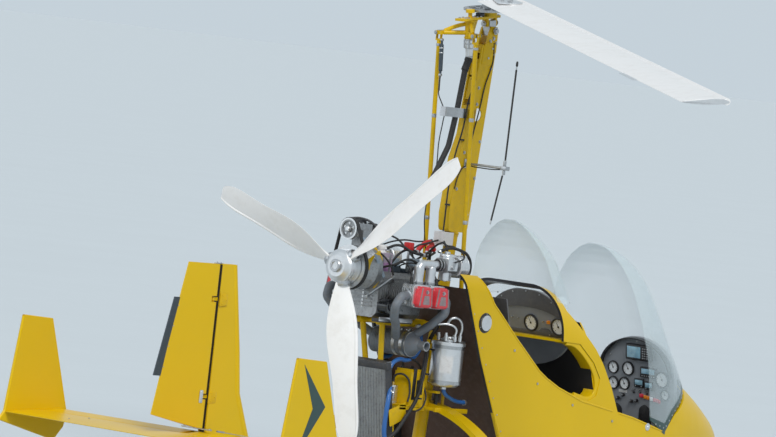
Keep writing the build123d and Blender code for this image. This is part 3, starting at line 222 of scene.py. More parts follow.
# base colour, dirt colour, (variation, dirt amount, scale, roughness, bump scale, bump strength) and the
# shader's own sockets
surfaces = {
    "podYellow": ((0.70, 0.465, 0.001), (0.58, 0.42, 0.03), (0.035, 0.10, 1.6, 0.34, 90.0, 0.02),
                  {"Coat Weight": 0.12, "Coat Roughness": 0.08, "Specular IOR Level": 0.25}),
    "frameYellow": ((0.70, 0.45, 0.001), (0.34, 0.25, 0.06), (0.05, 0.30, 7.0, 0.38, 700.0, 0.12),
                  {"Coat Weight": 0.1, "Coat Roughness": 0.15, "Specular IOR Level": 0.25}),
    "rotorWhite": ((0.86, 0.87, 0.88), (0.60, 0.58, 0.54), (0.02, 0.25, 2.2, 0.32, 160.0, 0.03),
                  {"Coat Weight": 0.4, "Coat Roughness": 0.1}),
    "firewallBrown": ((0.075, 0.040, 0.028), (0.16, 0.12, 0.10), (0.22, 0.4, 6.0, 0.62, 240.0, 0.3), {}),
    "panelGrey": ((0.25, 0.27, 0.30), (0.36, 0.36, 0.36), (0.10, 0.15, 9.0, 0.55, 900.0, 0.25), {}),
    "seatGrey": ((0.10, 0.10, 0.105), (0.22, 0.21, 0.20), (0.10, 0.25, 8.0, 0.45, 500.0, 0.12),
                  {"Coat Weight": 0.2}),
    "castGrey": ((0.36, 0.37, 0.38), (0.10, 0.085, 0.07), (0.12, 0.45, 14.0, 0.42, 650.0, 0.45),
                  {"Metallic": 0.85}),
    "castDark": ((0.06, 0.063, 0.07), (0.16, 0.13, 0.10), (0.15, 0.35, 14.0, 0.5, 650.0, 0.4),
                  {"Metallic": 0.4}),
    "valveRed": ((0.72, 0.035, 0.050), (0.24, 0.04, 0.04), (0.08, 0.3, 16.0, 0.36, 900.0, 0.3),
                  {"Coat Weight": 0.35, "Coat Roughness": 0.2}),
    "silver": ((0.74, 0.75, 0.76), (0.40, 0.39, 0.38), (0.05, 0.22, 6.0, 0.30, 400.0, 0.04),
               {"Metallic": 0.9}),
    "steel": ((0.50, 0.51, 0.52), (0.16, 0.12, 0.09), (0.10, 0.3, 20.0, 0.32, 700.0, 0.12),
              {"Metallic": 1.0}),
    "exhaustDark": ((0.19, 0.215, 0.245), (0.26, 0.19, 0.15), (0.22, 0.35, 9.0, 0.62, 420.0, 0.5),
                  {"Metallic": 0.25}),
    "blackPlastic": ((0.016, 0.016, 0.018), (0.10, 0.095, 0.09), (0.15, 0.25, 15.0, 0.42, 900.0, 0.2), {}),
    "bottleClear": ((0.62, 0.52, 0.66), (0.45, 0.30, 0.46), (0.05, 0.3, 12.0, 0.3, 300.0, 0.05),
                  {"Transmission Weight": 0.35, "Coat Weight": 0.3}),
    "boxWhite": ((0.72, 0.73, 0.74), (0.35, 0.32, 0.28), (0.04, 0.3, 10.0, 0.42, 700.0, 0.1), {}),
    "rubber": ((0.018, 0.018, 0.019), (0.11, 0.10, 0.09), (0.18, 0.35, 18.0, 0.62, 800.0, 0.2), {}),
    "blueHose": ((0.02, 0.13, 0.42), (0.05, 0.08, 0.14), (0.10, 0.3, 18.0, 0.42, 800.0, 0.15),
                  {"Coat Weight": 0.25}),
    "redPlastic": ((0.55, 0.02, 0.02), (0.25, 0.05, 0.04), (0.08, 0.2, 18.0, 0.38, 800.0, 0.08), {}),
    "tyre": ((0.022, 0.022, 0.023), (0.13, 0.115, 0.095), (0.18, 0.28, 5.0, 0.72, 520.0, 0.35), {}),
    "slate": ((0.030, 0.045, 0.060), (0.12, 0.13, 0.14), (0.12, 0.2, 9.0, 0.42, 600.0, 0.08), {}),
    "stripeGreen": ((0.010, 0.045, 0.040), (0.06, 0.08, 0.07), (0.10, 0.15, 5.0, 0.34, 300.0, 0.03),
                  {"Coat Weight": 0.5, "Coat Roughness": 0.1}),
    "dialWhite": ((0.90, 0.94, 0.98), (0.75, 0.78, 0.80), (0.02, 0.1, 30.0, 0.4, 900.0, 0.02), {}),
    "screenBlue": ((0.25, 0.47, 0.62), (0.45, 0.62, 0.50), (0.25, 0.5, 22.0, 0.16, 300.0, 0.0),
                  {"Coat Weight": 0.8, "Coat Roughness": 0.04}),
    "brass": ((0.62, 0.42, 0.13), (0.2, 0.13, 0.06), (0.1, 0.3, 30.0, 0.3, 700.0, 0.1), {"Metallic": 1.0}),
    "padGrey": ((0.30, 0.24, 0.25), (0.10, 0.05, 0.05), (0.15, 0.5, 40.0, 0.5, 900.0, 0.3), {}),
    "paleBlue": ((0.30, 0.38, 0.46), (0.12, 0.13, 0.15), (0.08, 0.3, 14.0, 0.45, 800.0, 0.1), {}),
    "coolant": ((0.52, 0.30, 0.56), (0.34, 0.18, 0.36), (0.06, 0.2, 12.0, 0.2, 300.0, 0.02),
                  {"Transmission Weight": 0.25, "Coat Weight": 0.5}),
    "blackGloss": ((0.008, 0.009, 0.012), (0.08, 0.08, 0.08), (0.1, 0.15, 12.0, 0.16, 600.0, 0.05),
                  {"Coat Weight": 0.6, "Coat Roughness": 0.06}),
    "lampRed": ((0.80, 0.05, 0.09), (0.5, 0.04, 0.05), (0.05, 0.1, 30.0, 0.25, 600.0, 0.02),
                  {"Coat Weight": 0.5}),
    "lampOrange": ((0.90, 0.30, 0.03), (0.7, 0.2, 0.03), (0.05, 0.1, 30.0, 0.25, 600.0, 0.02),
                  {"Coat Weight": 0.5}),
    "floorPale": ((0.56, 0.64, 0.70), (0.54, 0.62, 0.68), (0.01, 0.2, 0.6, 0.8, 40.0, 0.02), {}),
}


def makeGlass():
    # Clear acrylic: nearly see-through face on, paler and firmer at a glancing angle
    material, tree, principled = startMaterial(
        "clearGlass", {"Base Color": rgb(0.70, 0.84, 0.90), "Roughness": 0.05, "IOR": 1.49,
                       "Coat Weight": 0.4}
    )
    facing = addNode(tree, "ShaderNodeLayerWeight", {"Blend": 0.35})
    clear = addNode(tree, "ShaderNodeMapRange",
                    {"From Min": 0.15, "From Max": 0.95, "To Min": 0.09, "To Max": 0.55})
    place = addNode(tree, "ShaderNodeTexCoord")
    noise = addNode(tree, "ShaderNodeTexNoise", {"Scale": 5.0, "Detail": 4.0})
    span = addNode(tree, "ShaderNodeMapRange",
                   {"From Min": 0.4, "From Max": 0.75, "To Min": 0.03, "To Max": 0.09})
    joinNodes(tree, (facing, "Facing", clear, "Value"), (clear, "Result", principled, "Alpha"),
              (place, "Object", noise, "Vector"), (noise, "Fac", span, "Value"),
              (span, "Result", principled, "Roughness"))
    return material


def makeWeave(name, colour, scale):
    material, tree, principled = startMaterial(
        name, {"Roughness": 0.85, "Sheen Weight": 0.35, "Sheen Roughness": 0.5}
    )
    place = addNode(tree, "ShaderNodeTexCoord")
    cross = addNode(tree, "ShaderNodeMath", operation="MULTIPLY")
    threads = {"Scale": scale, "Distortion": 0.4, "Detail": 1.0}
    for entry, direction in enumerate(("X", "Z")):
        wave = addNode(tree, "ShaderNodeTexWave", threads, bands_direction=direction)
        joinNodes(tree, (place, "Object", wave, "Vector"), (wave, "Fac", cross, entry))
    tone = addNode(tree, "ShaderNodeMix", {"A": rgb(*(value * 0.55 for value in colour)), "B": rgb(*colour)},
                   data_type="RGBA")
    bump = addNode(tree, "ShaderNodeBump", {"Strength": 0.35, "Distance": 0.001})
    joinNodes(tree, (cross, "Value", tone, "Factor"), (tone, "Result", principled, "Base Color"),
              (cross, "Value", bump, "Height"), (bump, "Normal", principled, "Normal"))
    return material


def makeShell():
    # Yellow outside, painted shade on the faces that look into the cabin
    material = makeMaterial("shellYellowCabinShade", *surfaces["podYellow"])
    tree = material.node_tree
    principled = tree.nodes["Principled BSDF"]
    painted = principled.inputs["Base Color"].links[0].from_socket
    place = addNode(tree, "ShaderNodeTexCoord")
    away = addNode(tree, "ShaderNodeVectorMath", {1: (0.0, 1.0, 1.0), 2: (0.0, 0.0, -0.60)},
                   operation="MULTIPLY_ADD")
    shape = addNode(tree, "ShaderNodeNewGeometry")
    inward = addNode(tree, "ShaderNodeVectorMath", operation="DOT_PRODUCT")
    cabinShade = addNode(tree, "ShaderNodeMath", {1: -0.03}, operation="LESS_THAN")
    # near-black painted shade mixed over the yellow where the faces look into the cabin
    mix = addNode(tree, "ShaderNodeMix", {"B": rgb(0.035, 0.036, 0.040)}, data_type="RGBA")
    tree.links.new(painted, mix.inputs["A"])
    joinNodes(tree, (place, "Object", away, 0), (away, "Vector", inward, 0), (shape, "Normal", inward, 1),
              (inward, "Value", cabinShade, 0), (cabinShade, "Value", mix, "Factor"),
              (mix, "Result", principled, "Base Color"))
    return material


finishes = {name: makeMaterial(name, *row) for name, row in surfaces.items()}
finishes["shellYellowCabinShade"] = makeShell()
finishes["glass"] = makeGlass()
finishes["weaveBlack"] = makeWeave("weaveBlack", (0.030, 0.030, 0.033), 260.0)
finishes["webbing"] = makeWeave("webbing", (0.012, 0.014, 0.030), 420.0)


# Floor

def makeFloor():
    half = view["floorHalf"]
    bm = bmesh.new()
    bmesh.ops.create_grid(bm, x_segments=1, y_segments=1, size=half)
    mesh = bpy.data.meshes.new("floor")
    bm.to_mesh(mesh)
    bm.free()
    floor = bpy.data.objects.new("floor", mesh)
    bpy.context.scene.collection.objects.link(floor)
    mesh.materials.append(finishes["floorPale"])


makeFloor()


# CAD nodes keep their shapes and get their finishes

cadFinish = {
    # pod and fairing: yellow paint with painted shade on the cabin side
    "shellYellowCabinShade": ("fuselage_pod", "front_seat_fairing"),
    "podYellow": ("fins", "stabiliser", "rudder", "leaf_leg"),
    "frameYellow": (
        "mast", "engine_frame", "kingpin_housing", "tail_wheel_fork", "nose_fork", "head_frame",
        "push_rod_left", "push_rod_right", "battery_box",
    ),
    "rotorWhite": ("rotor_blades", "prop_blades"),
    "glass": ("front_windshield", "rear_windshield"),
    "firewallBrown": ("firewall",),
    "panelGrey": ("instrument_panels",),
    "weaveBlack": ("seat_cushions",),
    "seatGrey": ("seat_shells",),
    "castGrey": ("crankcase", "cylinders", "gearbox", "prerotator_drive", "radiator"),
    "valveRed": ("valve_covers",),
    "silver": (
        "filler_cap", "starter_motor", "rudder_pedals", "intake_runners", "carburettors", "oil_tank",
        "fuel_pump", "prop_hub", "hub_bar", "nose_rim", "main_rim_left", "main_rim_right", "tail_rim",
    ),
    "exhaustDark": ("exhaust_pipes", "muffler"),
    "blackPlastic": ("control_sticks",),
    "blackGloss": ("oil_filter",),
    "bottleClear": ("coolant_bottle",),
    "boxWhite": ("electrics_box",),
    "rubber": ("flexible_shaft",),
    "steel": ("mast_fittings", "stub_axles", "gimbal_block", "rod_cross_left", "rod_cross_right",
              "rotor_spindle"),
    "slate": ("trim_tab",),
    "tyre": ("nose_tyre", "main_tyre_left", "main_tyre_right", "tail_tyre"),
}


def dressCad():
    for finish, names in cadFinish.items():
        for name in names:
            node = nodes[name]
            mesh = node.data
            mesh.materials.clear()
            mesh.materials.append(finishes[finish])
            mesh.normals_split_custom_set([(0.0, 0.0, 0.0)] * len(mesh.loops))
            mesh.polygons.foreach_set("use_smooth", [True] * len(mesh.polygons))
            node.modifiers.new("weld", "WELD").merge_threshold = 0.00002
            node.modifiers.new("split", "EDGE_SPLIT").split_angle = math.radians(28)


dressCad()
print("finishes on the frame")


# Mesh helpers

noTurn = Matrix.Identity(4)


def showPiece(name, bm, finish, body="airframe", crease=35.0):
    bmesh.ops.recalc_face_normals(bm, faces=bm.faces)
    mesh = bpy.data.meshes.new(name)
    bm.to_mesh(mesh)
    bm.free()
    mesh.polygons.foreach_set("use_smooth", [True] * len(mesh.polygons))
    mesh.set_sharp_from_angle(angle=math.radians(crease))
    piece = bpy.data.objects.new(name, mesh)
    bpy.context.scene.collection.objects.link(piece)
    mesh.materials.append(finishes[finish])
    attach(piece, body)
    return piece


def turnTo(axis):
    # Takes +Z to the axis
    return Vector(axis).normalized().to_track_quat("Z", "Y").to_matrix().to_4x4()


def addPart(bm, part, matrix=noTurn):
    bmesh.ops.remove_doubles(part, verts=part.verts, dist=0.000002)
    bmesh.ops.transform(part, matrix=matrix, verts=part.verts)
    mesh = bpy.data.meshes.new("part")
    part.to_mesh(mesh)
    part.free()
    bm.from_mesh(mesh)
    bpy.data.meshes.remove(mesh)


def addLathe(bm, profile, place, axis, sides=32, matrix=noTurn, closed=False):
    # Profile rows (radius, height) spun round the axis
    part = bmesh.new()
    verts = [part.verts.new((radius, 0, height)) for radius, height in profile]
    edges = [part.edges.new(pair) for pair in zip(verts, verts[1:])]
    if closed:
        edges.append(part.edges.new((verts[-1], verts[0])))
    bmesh.ops.spin(
        part, geom=verts + edges, cent=(0, 0, 0), axis=(0, 0, 1), dvec=(0, 0, 0), angle=2 * math.pi,
        steps=sides, use_merge=True,
    )
    addPart(bm, part, matrix @ Matrix.Translation(place) @ turnTo(axis))


def closedProfile(points):
    return [(0.0, points[0][1])] + list(points) + [(0.0, points[-1][1])]


def addDisc(bm, place, axis, radius, length, sides=32, edge=0.0, matrix=noTurn):
    turn = matrix @ Matrix.Translation(place) @ turnTo(axis) @ Matrix.Translation((0, 0, length / 2))
    made = bmesh.ops.create_cone(
        bm, cap_ends=True, segments=sides, radius1=radius, radius2=radius, depth=length, matrix=turn
    )
    edge = min(edge, radius * 0.45, length * 0.45)
    if edge > 0:
        lines = {line for vert in made["verts"] for line in vert.link_edges}
        rims = [line for line in lines if any(len(face.verts) > 4 for face in line.link_faces)]
        bmesh.ops.bevel(bm, geom=rims, offset=edge, segments=2, profile=0.5, affect="EDGES", material=-1)


def addBox(bm, low, high, edge=0.0, matrix=noTurn):
    low = Vector(low)
    high = Vector(high)
    place = matrix @ Matrix.Translation((low + high) / 2) @ Matrix.Diagonal((*(high - low), 1.0))
    made = bmesh.ops.create_cube(bm, size=1.0, matrix=place)
    if edge > 0:
        edges = list({line for vert in made["verts"] for line in vert.link_edges})
        bmesh.ops.bevel(bm, geom=edges, offset=edge, segments=2, profile=0.5, affect="EDGES", material=-1)


def addBolt(bm, place, axis, size, matrix=noTurn):
    # Hexagon head on a washer; size is the head's radius
    place = Vector(place)
    way = Vector(axis).normalized()
    addDisc(bm, place, way, size * 1.4, size * 0.22, 12, 0.0, matrix)
    turn = matrix @ Matrix.Translation(place + way * size * 0.55) @ turnTo(way)
    bmesh.ops.create_cone(
        bm, cap_ends=True, segments=6, radius1=size, radius2=size * 0.93, depth=size * 0.68, matrix=turn
    )


planes = {
    "XZ": Matrix(((1, 0, 0, 0), (0, 0, 1, 0), (0, 1, 0, 0), (0, 0, 0, 1))),
    "YZ": Matrix(((0, 0, 1, 0), (1, 0, 0, 0), (0, 1, 0, 0), (0, 0, 0, 1))),
    "XY": Matrix.Identity(4),
}


def addPlate(bm, outline, low, high, axes="XZ", edge=0.0, corner=0.0, matrix=noTurn):
    # Flat plate: an outline on two axes, from low to high on the third
    part = bmesh.new()
    face = part.faces.new([part.verts.new((a, b, low)) for a, b in outline])
    if corner > 0:
        bmesh.ops.bevel(
            part, geom=list(part.verts), offset=corner, segments=5, profile=0.5, affect="VERTICES",
            material=-1
        )
        face = part.faces[:][0]
    rims = bmesh.ops.extrude_face_region(part, geom=[face], use_keep_orig=True)
    moved = [item for item in rims["geom"] if isinstance(item, bmesh.types.BMVert)]
    bmesh.ops.translate(part, vec=(0, 0, high - low), verts=moved)
    if edge > 0:
        caps = [item for item in part.faces if abs(item.normal.z) > 0.9 or len(item.verts) == len(moved)]
        edges = list({line for item in caps for line in item.edges})
        bmesh.ops.bevel(part, geom=edges, offset=edge, segments=2, profile=0.5, affect="EDGES", material=-1)
    addPart(bm, part, matrix @ planes[axes])


def addTubes(bm, rows, sides=12, matrix=noTurn):
    # Round tubes through their points: rows (radius, points)
    curve = bpy.data.curves.new("run", "CURVE")
    curve.dimensions = "3D"
    curve.bevel_depth = 0.01
    curve.bevel_resolution = max(0, (sides - 4) // 2)
    curve.use_fill_caps = True
    curve.resolution_u = 7
    for radius, points in rows:
        spline = curve.splines.new("BEZIER")
        spline.bezier_points.add(len(points) - 1)
        for knot, point in zip(spline.bezier_points, points):
            knot.co = point
            knot.radius = radius / 0.01
            knot.handle_left_type = knot.handle_right_type = "AUTO"
    holder = bpy.data.objects.new("run", curve)
    mesh = bpy.data.meshes.new_from_object(holder)
    part = bmesh.new()
    part.from_mesh(mesh)
    bpy.data.objects.remove(holder)
    bpy.data.curves.remove(curve)
    bpy.data.meshes.remove(mesh)
    addPart(bm, part, matrix)


def addBand(bm, place, axis, inner, outer, low, high, sides=48, matrix=noTurn):
    # Ring of a rectangular section
    addLathe(bm, ((inner, low), (outer, low), (outer, high), (inner, high)), place, axis, sides, matrix, True)


def addRidge(bm, place, axis, inner, outer, foot, crest, sides):
    # Raised rib round an axis, wider at its foot than at its crest
    ring = ((inner, -foot), (outer, -crest), (outer, crest), (inner, foot))
    addLathe(bm, ring, place, axis, sides, closed=True)


def addClamp(bm, place, axis, radius, width=0.012):
    # Hose clamp: a thin band with its screw housing
    addBand(bm, place, axis, radius, radius + 0.0012, -width / 2, width / 2, 24)
    addBox(bm, (radius, -0.007, -width * 0.55), (radius + 0.008, 0.007, width * 0.55), 0.001,
           Matrix.Translation(place) @ turnTo(axis))


# Rotor head's own frame, leaned aft, and the rotor's, turned as it is parked

head = {
    "tilt": 8.5, "pivotZ": 2.505, "hubHeight": 0.165, "heading": 232.0, "pillarX": -0.152, "eyeX": -0.243,
    "eyeY": 0.115, "nutsAlong": (-0.21, -0.185, -0.12, -0.09, 0.044), "rodFootX": -0.104, "rodFootY": 0.121,
    "rodFootZ": 1.215, "shaftTop": (-0.128, 0, 2.306),
    # height, radius and width of each band on the starter drive
    "starterBands": ((-0.038, 0.0262, 0.008), (-0.056, 0.0250, 0.006), (-0.078, 0.0232, 0.005),
                     (-0.122, 0.0190, 0.010)),
    # radius and distance from the drive's end
    "boot": (
        (0.0165, 0.0), (0.0195, 0.003), (0.0195, 0.016), (0.0172, 0.020), (0.0180, 0.024), (0.0172, 0.028),
        (0.0180, 0.032), (0.0172, 0.036), (0.0180, 0.040), (0.0172, 0.044), (0.0185, 0.050), (0.0185, 0.066),
        (0.0150, 0.068), (0.0150, 0.030),
    ),
}
head["pivotX"] = head["hubHeight"] * math.sin(math.radians(head["tilt"]))
headMatrix = Matrix.Translation((head["pivotX"], 0, head["pivotZ"])) @ Matrix.Rotation(
    -math.radians(head["tilt"]), 4, "Y"
)
rotorMatrix = headMatrix @ Matrix.Rotation(math.radians(head["heading"]), 4, "Z")


# Rotor: grips, bolts, edge tape, tips and ring gear

rotor = {
    "radius": 4.115, "chord": 0.220, "thick": 0.026, "height": 0.165, "gripEnd": 0.42,
    "teeth": 96, "gearRadius": 0.128, "gearLow": 0.100, "gearHigh": 0.110, "teeterHeight": 0.183,
    "tapeStart": 1.05, "tapeLength": 3.05, "plateGap": 0.0132, "plateTop": 0.0182,
    "boltsAlong": (0.20, 0.25, 0.30, 0.35, 0.40, 0.43),
}


def makeRotorGrips():
    plates = bmesh.new()
    bolts = bmesh.new()
    height = rotor["height"]
    end = rotor["gripEnd"]
    for side in (0, math.pi):
        turn = rotorMatrix @ Matrix.Rotation(side, 4, "Z")
        outline = ((0.16, -0.034), (end, -0.062), (end + 0.05, -0.02), (end + 0.05, 0.03), (end, 0.066),
                   (0.16, 0.034))
        for low, high in ((height + rotor["plateGap"], height + rotor["plateTop"]),
                          (height - rotor["plateTop"], height - rotor["plateGap"])):
            addPlate(plates, outline, low, high, "XY", 0.0012, 0.012, turn)
        # bright root fairing between hub bar and blade
        addPlate(plates, ((0.05, -0.030), (0.17, -0.034), (0.17, 0.034), (0.05, 0.030)),
                 height + 0.0112, height + 0.0145, "XY", 0.001, 0.004, turn)
        for along in rotor["boltsAlong"]:
            for across in (-0.022, 0.022) if along < 0.4 else (0.0,):
                for way in (1, -1):
                    addBolt(bolts, (along, across, height + way * rotor["plateTop"]), (0, 0, way), 0.0075,
                            turn)
    showPiece("rotorGrips", plates, "silver", "rotor")
    for across in (-1, 1):
        for along in (-0.040, 0.040):
            addBolt(bolts, (along, across * 0.011, height + 0.011), (0, 0, 1), 0.006, rotorMatrix)
    showPiece("rotorBolts", bolts, "steel", "rotor")


def makeBladeTrim():
    tape = bmesh.new()
    tips = bmesh.new()
    nose = rotor["chord"] / 2
    height = rotor["height"]
    start = (rotor["tapeStart"], nose - 0.020, height)
    for side in (0, math.pi):
        turn = rotorMatrix @ Matrix.Rotation(side, 4, "Z")
        # edge tape: an arc round the nose drawn out along the blade
        part = bmesh.new()
        vert = part.verts.new((start[0], start[1], height - rotor["thick"] * 0.46))
        bmesh.ops.spin(part, geom=[vert], cent=start, axis=(1, 0, 0), dvec=(0, 0, 0), angle=math.pi, steps=12)
        bmesh.ops.scale(part, vec=(1, 1.72, 1), verts=part.verts,
                        space=Matrix.Translation((0, 0.020 - nose, 0)))
        drawn = bmesh.ops.extrude_edge_only(part, edges=list(part.edges))
        moved = [item for item in drawn["geom"] if isinstance(item, bmesh.types.BMVert)]
        bmesh.ops.translate(part, vec=(rotor["tapeLength"], 0, 0), verts=moved)
        bmesh.ops.recalc_face_normals(part, faces=part.faces)
        bmesh.ops.solidify(part, geom=list(part.faces), thickness=0.0006)
        addPart(tape, part, turn)
        outline = ((nose - 0.002, 0.0), (nose - 0.028, 0.0108), (0.03, 0.0125), (-nose + 0.004, 0.001),
                   (-nose + 0.004, -0.001), (0.03, -0.0125), (nose - 0.028, -0.0108))
        addPlate(tips, [(across, height + up) for across, up in outline],
                 rotor["radius"], rotor["radius"] + 0.004, "YZ", 0.0, 0.004, turn)
        # small fixed tab on the trailing edge
        addPlate(tips, ((3.1, -nose + 0.003), (3.35, -nose + 0.003), (3.35, -nose - 0.018),
                        (3.1, -nose - 0.018)),
                 height - 0.0012, height + 0.0012, "XY", matrix=turn)
    showPiece("bladeEdgeTape", tape, "boxWhite", "rotor")
    showPiece("bladeTips", tips, "silver", "rotor")


def makeRingGear():
    gear = bmesh.new()
    teeth = rotor["teeth"]
    near = rotor["gearRadius"] - 0.002
    far = rotor["gearRadius"] + 0.0016
    for index in range(teeth):
        turn = rotorMatrix @ Matrix.Rotation(2 * math.pi * index / teeth, 4, "Z")
        addPlate(gear, ((near, -0.0027), (far, -0.0014), (far, 0.0014), (near, 0.0027)),
                 rotor["gearLow"] + 0.0006, rotor["gearHigh"] - 0.0006, "XY", matrix=turn)
    for index in range(8):
        turn = rotorMatrix @ Matrix.Rotation(2 * math.pi * index / 8, 4, "Z")
        addBolt(gear, (0.052, 0, rotor["gearHigh"]), (0, 0, 1), 0.006, turn)
    showPiece("ringGearTeeth", gear, "steel", "spindle")
    # dark discs on both faces stand in for the gear's holes: painted shade where the holes would be
    holeShade = bmesh.new()
    for index in range(8):
        turn = rotorMatrix @ Matrix.Rotation(2 * math.pi * (index + 0.5) / 8, 4, "Z")
        for height, way in ((rotor["gearHigh"], 1), (rotor["gearLow"], -1)):
            addDisc(holeShade, (0.088, 0, height), (0, 0, way), 0.018, 0.0008, 24, matrix=turn)
    showPiece("ringGearHoles", holeShade, "castDark", "spindle")
    towers = bmesh.new()
    for side in (-1, 1):
        for along in (-0.024, 0.024):
            addBolt(towers, (along, side * 0.029, 0.118), (0, 0, 1), 0.0045, rotorMatrix)
        addBolt(towers, (0, side * 0.044, rotor["teeterHeight"]), (0, side, 0), 0.012, rotorMatrix)
        addDisc(towers, (0, side * 0.034, rotor["teeterHeight"]), (0, side, 0), 0.018, 0.004, 24, 0.001,
                rotorMatrix)
    showPiece("teeterNuts", towers, "steel", "spindle")


def makeHeadTrim():
    nuts = bmesh.new()
    for side in (-1, 1):
        addBolt(nuts, (side * 0.046, 0, 0.036), (side, 0, 0), 0.011, headMatrix)
        for end in (-1, 1):
            addBolt(nuts, (head["eyeX"] + end * 0.030, side * head["eyeY"], 0), (end, 0, 0), 0.007,
                    headMatrix)
    for along in head["nutsAlong"]:
        for across in (-0.019, 0.019):
            addBolt(nuts, (along, across, 0.074), (0, 0, 1), 0.0055, headMatrix)
    showPiece("headNuts", nuts, "steel", "rotor_head")
    tube = bmesh.new()
    rows = [
        (0.010, ((-0.160, side * 0.012, 0.044), (-0.200, side * 0.050, 0.030), (-0.238, side * 0.089, 0.008)))
        for side in (-1, 1)
    ]
    addTubes(tube, rows, 14, headMatrix)
    for height, radius in ((0.054, 0.031), (-0.028, 0.028)):
        addDisc(tube, (head["pillarX"], 0, height), (0, 0, 1), radius, 0.007, 32, 0.0015, headMatrix)
    addPlate(tube, ((-0.150, 0.060), (-0.095, 0.060), (-0.128, -0.015), (-0.150, -0.015)), -0.004, 0.004,
             "XZ", 0.001, 0.004, headMatrix)
    showPiece("yokeTubes", tube, "frameYellow", "rotor_head")
    motor = bmesh.new()
    for height, radius, deep in head["starterBands"]:
        addDisc(motor, (head["pillarX"], 0, height), (0, 0, 1), radius, deep, 32, 0.0012, headMatrix)
    for index in range(4):
        turn = headMatrix @ Matrix.Translation((head["pillarX"], 0, 0)) @ Matrix.Rotation(
            index * math.pi / 2 + 0.6, 4, "Z")
        addBox(motor, (0.021, -0.004, -0.075), (0.0285, 0.004, -0.034), 0.0012, turn)
    showPiece("starterBands", motor, "steel", "rotor_head")
    boot = bmesh.new()
    foot = headMatrix @ Vector((head["pillarX"], 0, -0.124))
    addLathe(boot, closedProfile(head["boot"]), foot, Vector(head["shaftTop"]) - foot, 28)
    showPiece("shaftBoot", boot, "rubber", "rotor_head")
    brake = bmesh.new()
    addDisc(brake, (-0.075, 0, 0.0742), (0, 0, 1), 0.021, 0.018, 28, 0.002, headMatrix)
    addBox(brake, (-0.096, -0.012, 0.0742), (-0.058, 0.012, 0.092), 0.002, headMatrix)
    showPiece("rotorBrake", brake, "castDark", "rotor_head")


def makeRodEnds():
    for side, body, name in ((1, "rod_left", "rodEndLeft"), (-1, "rod_right", "rodEndRight")):
        bm = bmesh.new()
        eye = headMatrix @ Vector((head["eyeX"], side * head["eyeY"], 0))
        foot = Vector((head["rodFootX"], side * head["rodFootY"], head["rodFootZ"]))
        run = (foot - eye).normalized()
        addDisc(bm, eye + run * 0.036, run, 0.010, 0.018, 6, 0.001)
        addDisc(bm, eye + run * 0.056, run, 0.0135, 0.012, 16, 0.001)
        for start in (0.40, 0.90):
            addDisc(bm, eye + run * start, run, 0.0118, 0.018, 20, 0.0008)
        showPiece(name, bm, "steel", body)


makeRotorGrips()
makeBladeTrim()
makeRingGear()
makeHeadTrim()
makeRodEnds()
print("rotor")


# Mast: bolts, gussets, cables, trim cylinder and aerial

mast = {
    "halfWidth": 0.032, "holeX": -0.034, "holeZ": 2.089, "postLean": 3.8, "postFoot": (-0.131, 0.744),
    # height and X along the rear edge
    "rear": ((1.510, -0.148), (1.596, -0.160), (1.869, -0.138), (1.988, -0.096), (2.430, -0.054)),
    # X and Z of the side bolts, and of the larger ones round the pivot
    "bolts": (
        (0.022, 2.418), (0.038, 2.390), (-0.002, 2.370), (0.030, 2.32), (-0.045, 2.22), (-0.045, 2.14),
        (-0.098, 1.90), (-0.125, 1.72), (-0.02, 1.60), (0.004, 1.78), (0.012, 1.96), (-0.03, 1.54),
    ),
    "pivotBolts": ((0.024, 2.468), (0.0, 2.452), (0.044, 2.446)),
    "ties": (2.26, 2.14, 1.96, 1.80, 1.64),
}


def mastRearX(z):
    rear = mast["rear"]
    for (lowZ, lowX), (highZ, highX) in zip(rear, rear[1:]):
        if lowZ <= z <= highZ:
            return lowX + (z - lowZ) / (highZ - lowZ) * (highX - lowX)
    return rear[0][1] if z < rear[0][0] else rear[-1][1]


def makeMastTrim():
    rim = bmesh.new()
    bolts = bmesh.new()
    for side in (-1, 1):
        outer = side * mast["halfWidth"]
        ring = ((0.032, 0), (0.038, 0), (0.038, 0.0022), (0.0345, 0.0030), (0.032, 0.0022))
        addLathe(rim, ring, (mast["holeX"], outer, mast["holeZ"]), (0, side, 0), 40, closed=True)
        for places, size in ((mast["bolts"], 0.0062), (mast["pivotBolts"], 0.0072)):
            for x, z in places:
                addBolt(bolts, (x, outer, z), (0, side, 0), size)
        addBolt(bolts, (head["pivotX"], side * 0.040, head["pivotZ"]), (0, side, 0), 0.013)
    showPiece("mastHoleRims", rim, "frameYellow")
    fold = bmesh.new()
    for low, high in ((2.16, 2.27), (2.28, 2.36)):
        near = mastRearX(low)
        addPlate(fold, ((near + 0.004, low), (near + 0.034, low + 0.01), (mastRearX(high) + 0.006, high)),
                 -0.023, 0.023, "XZ", 0.001)
    outline = ((-0.048, 2.335), (0.040, 2.335), (0.052, 2.425), (0.046, 2.455), (-0.006, 2.455),
               (-0.042, 2.43))
    for low, high in ((-0.034, -0.032), (0.032, 0.034)):
        addPlate(fold, outline, low, high, "XZ", 0.0006, 0.010)
    # collar where the round post enters the box
    lean = math.tan(math.radians(mast["postLean"]))
    footX, footZ = mast["postFoot"]
    for height, radius in ((1.500, 0.036), (1.490, 0.034)):
        addDisc(fold, (footX + (height - footZ) * lean, 0, height), (lean, 0, 1), radius, 0.008, 40, 0.002)
    showPiece("mastGussets", fold, "frameYellow")
    showPiece("mastBolts", bolts, "steel")


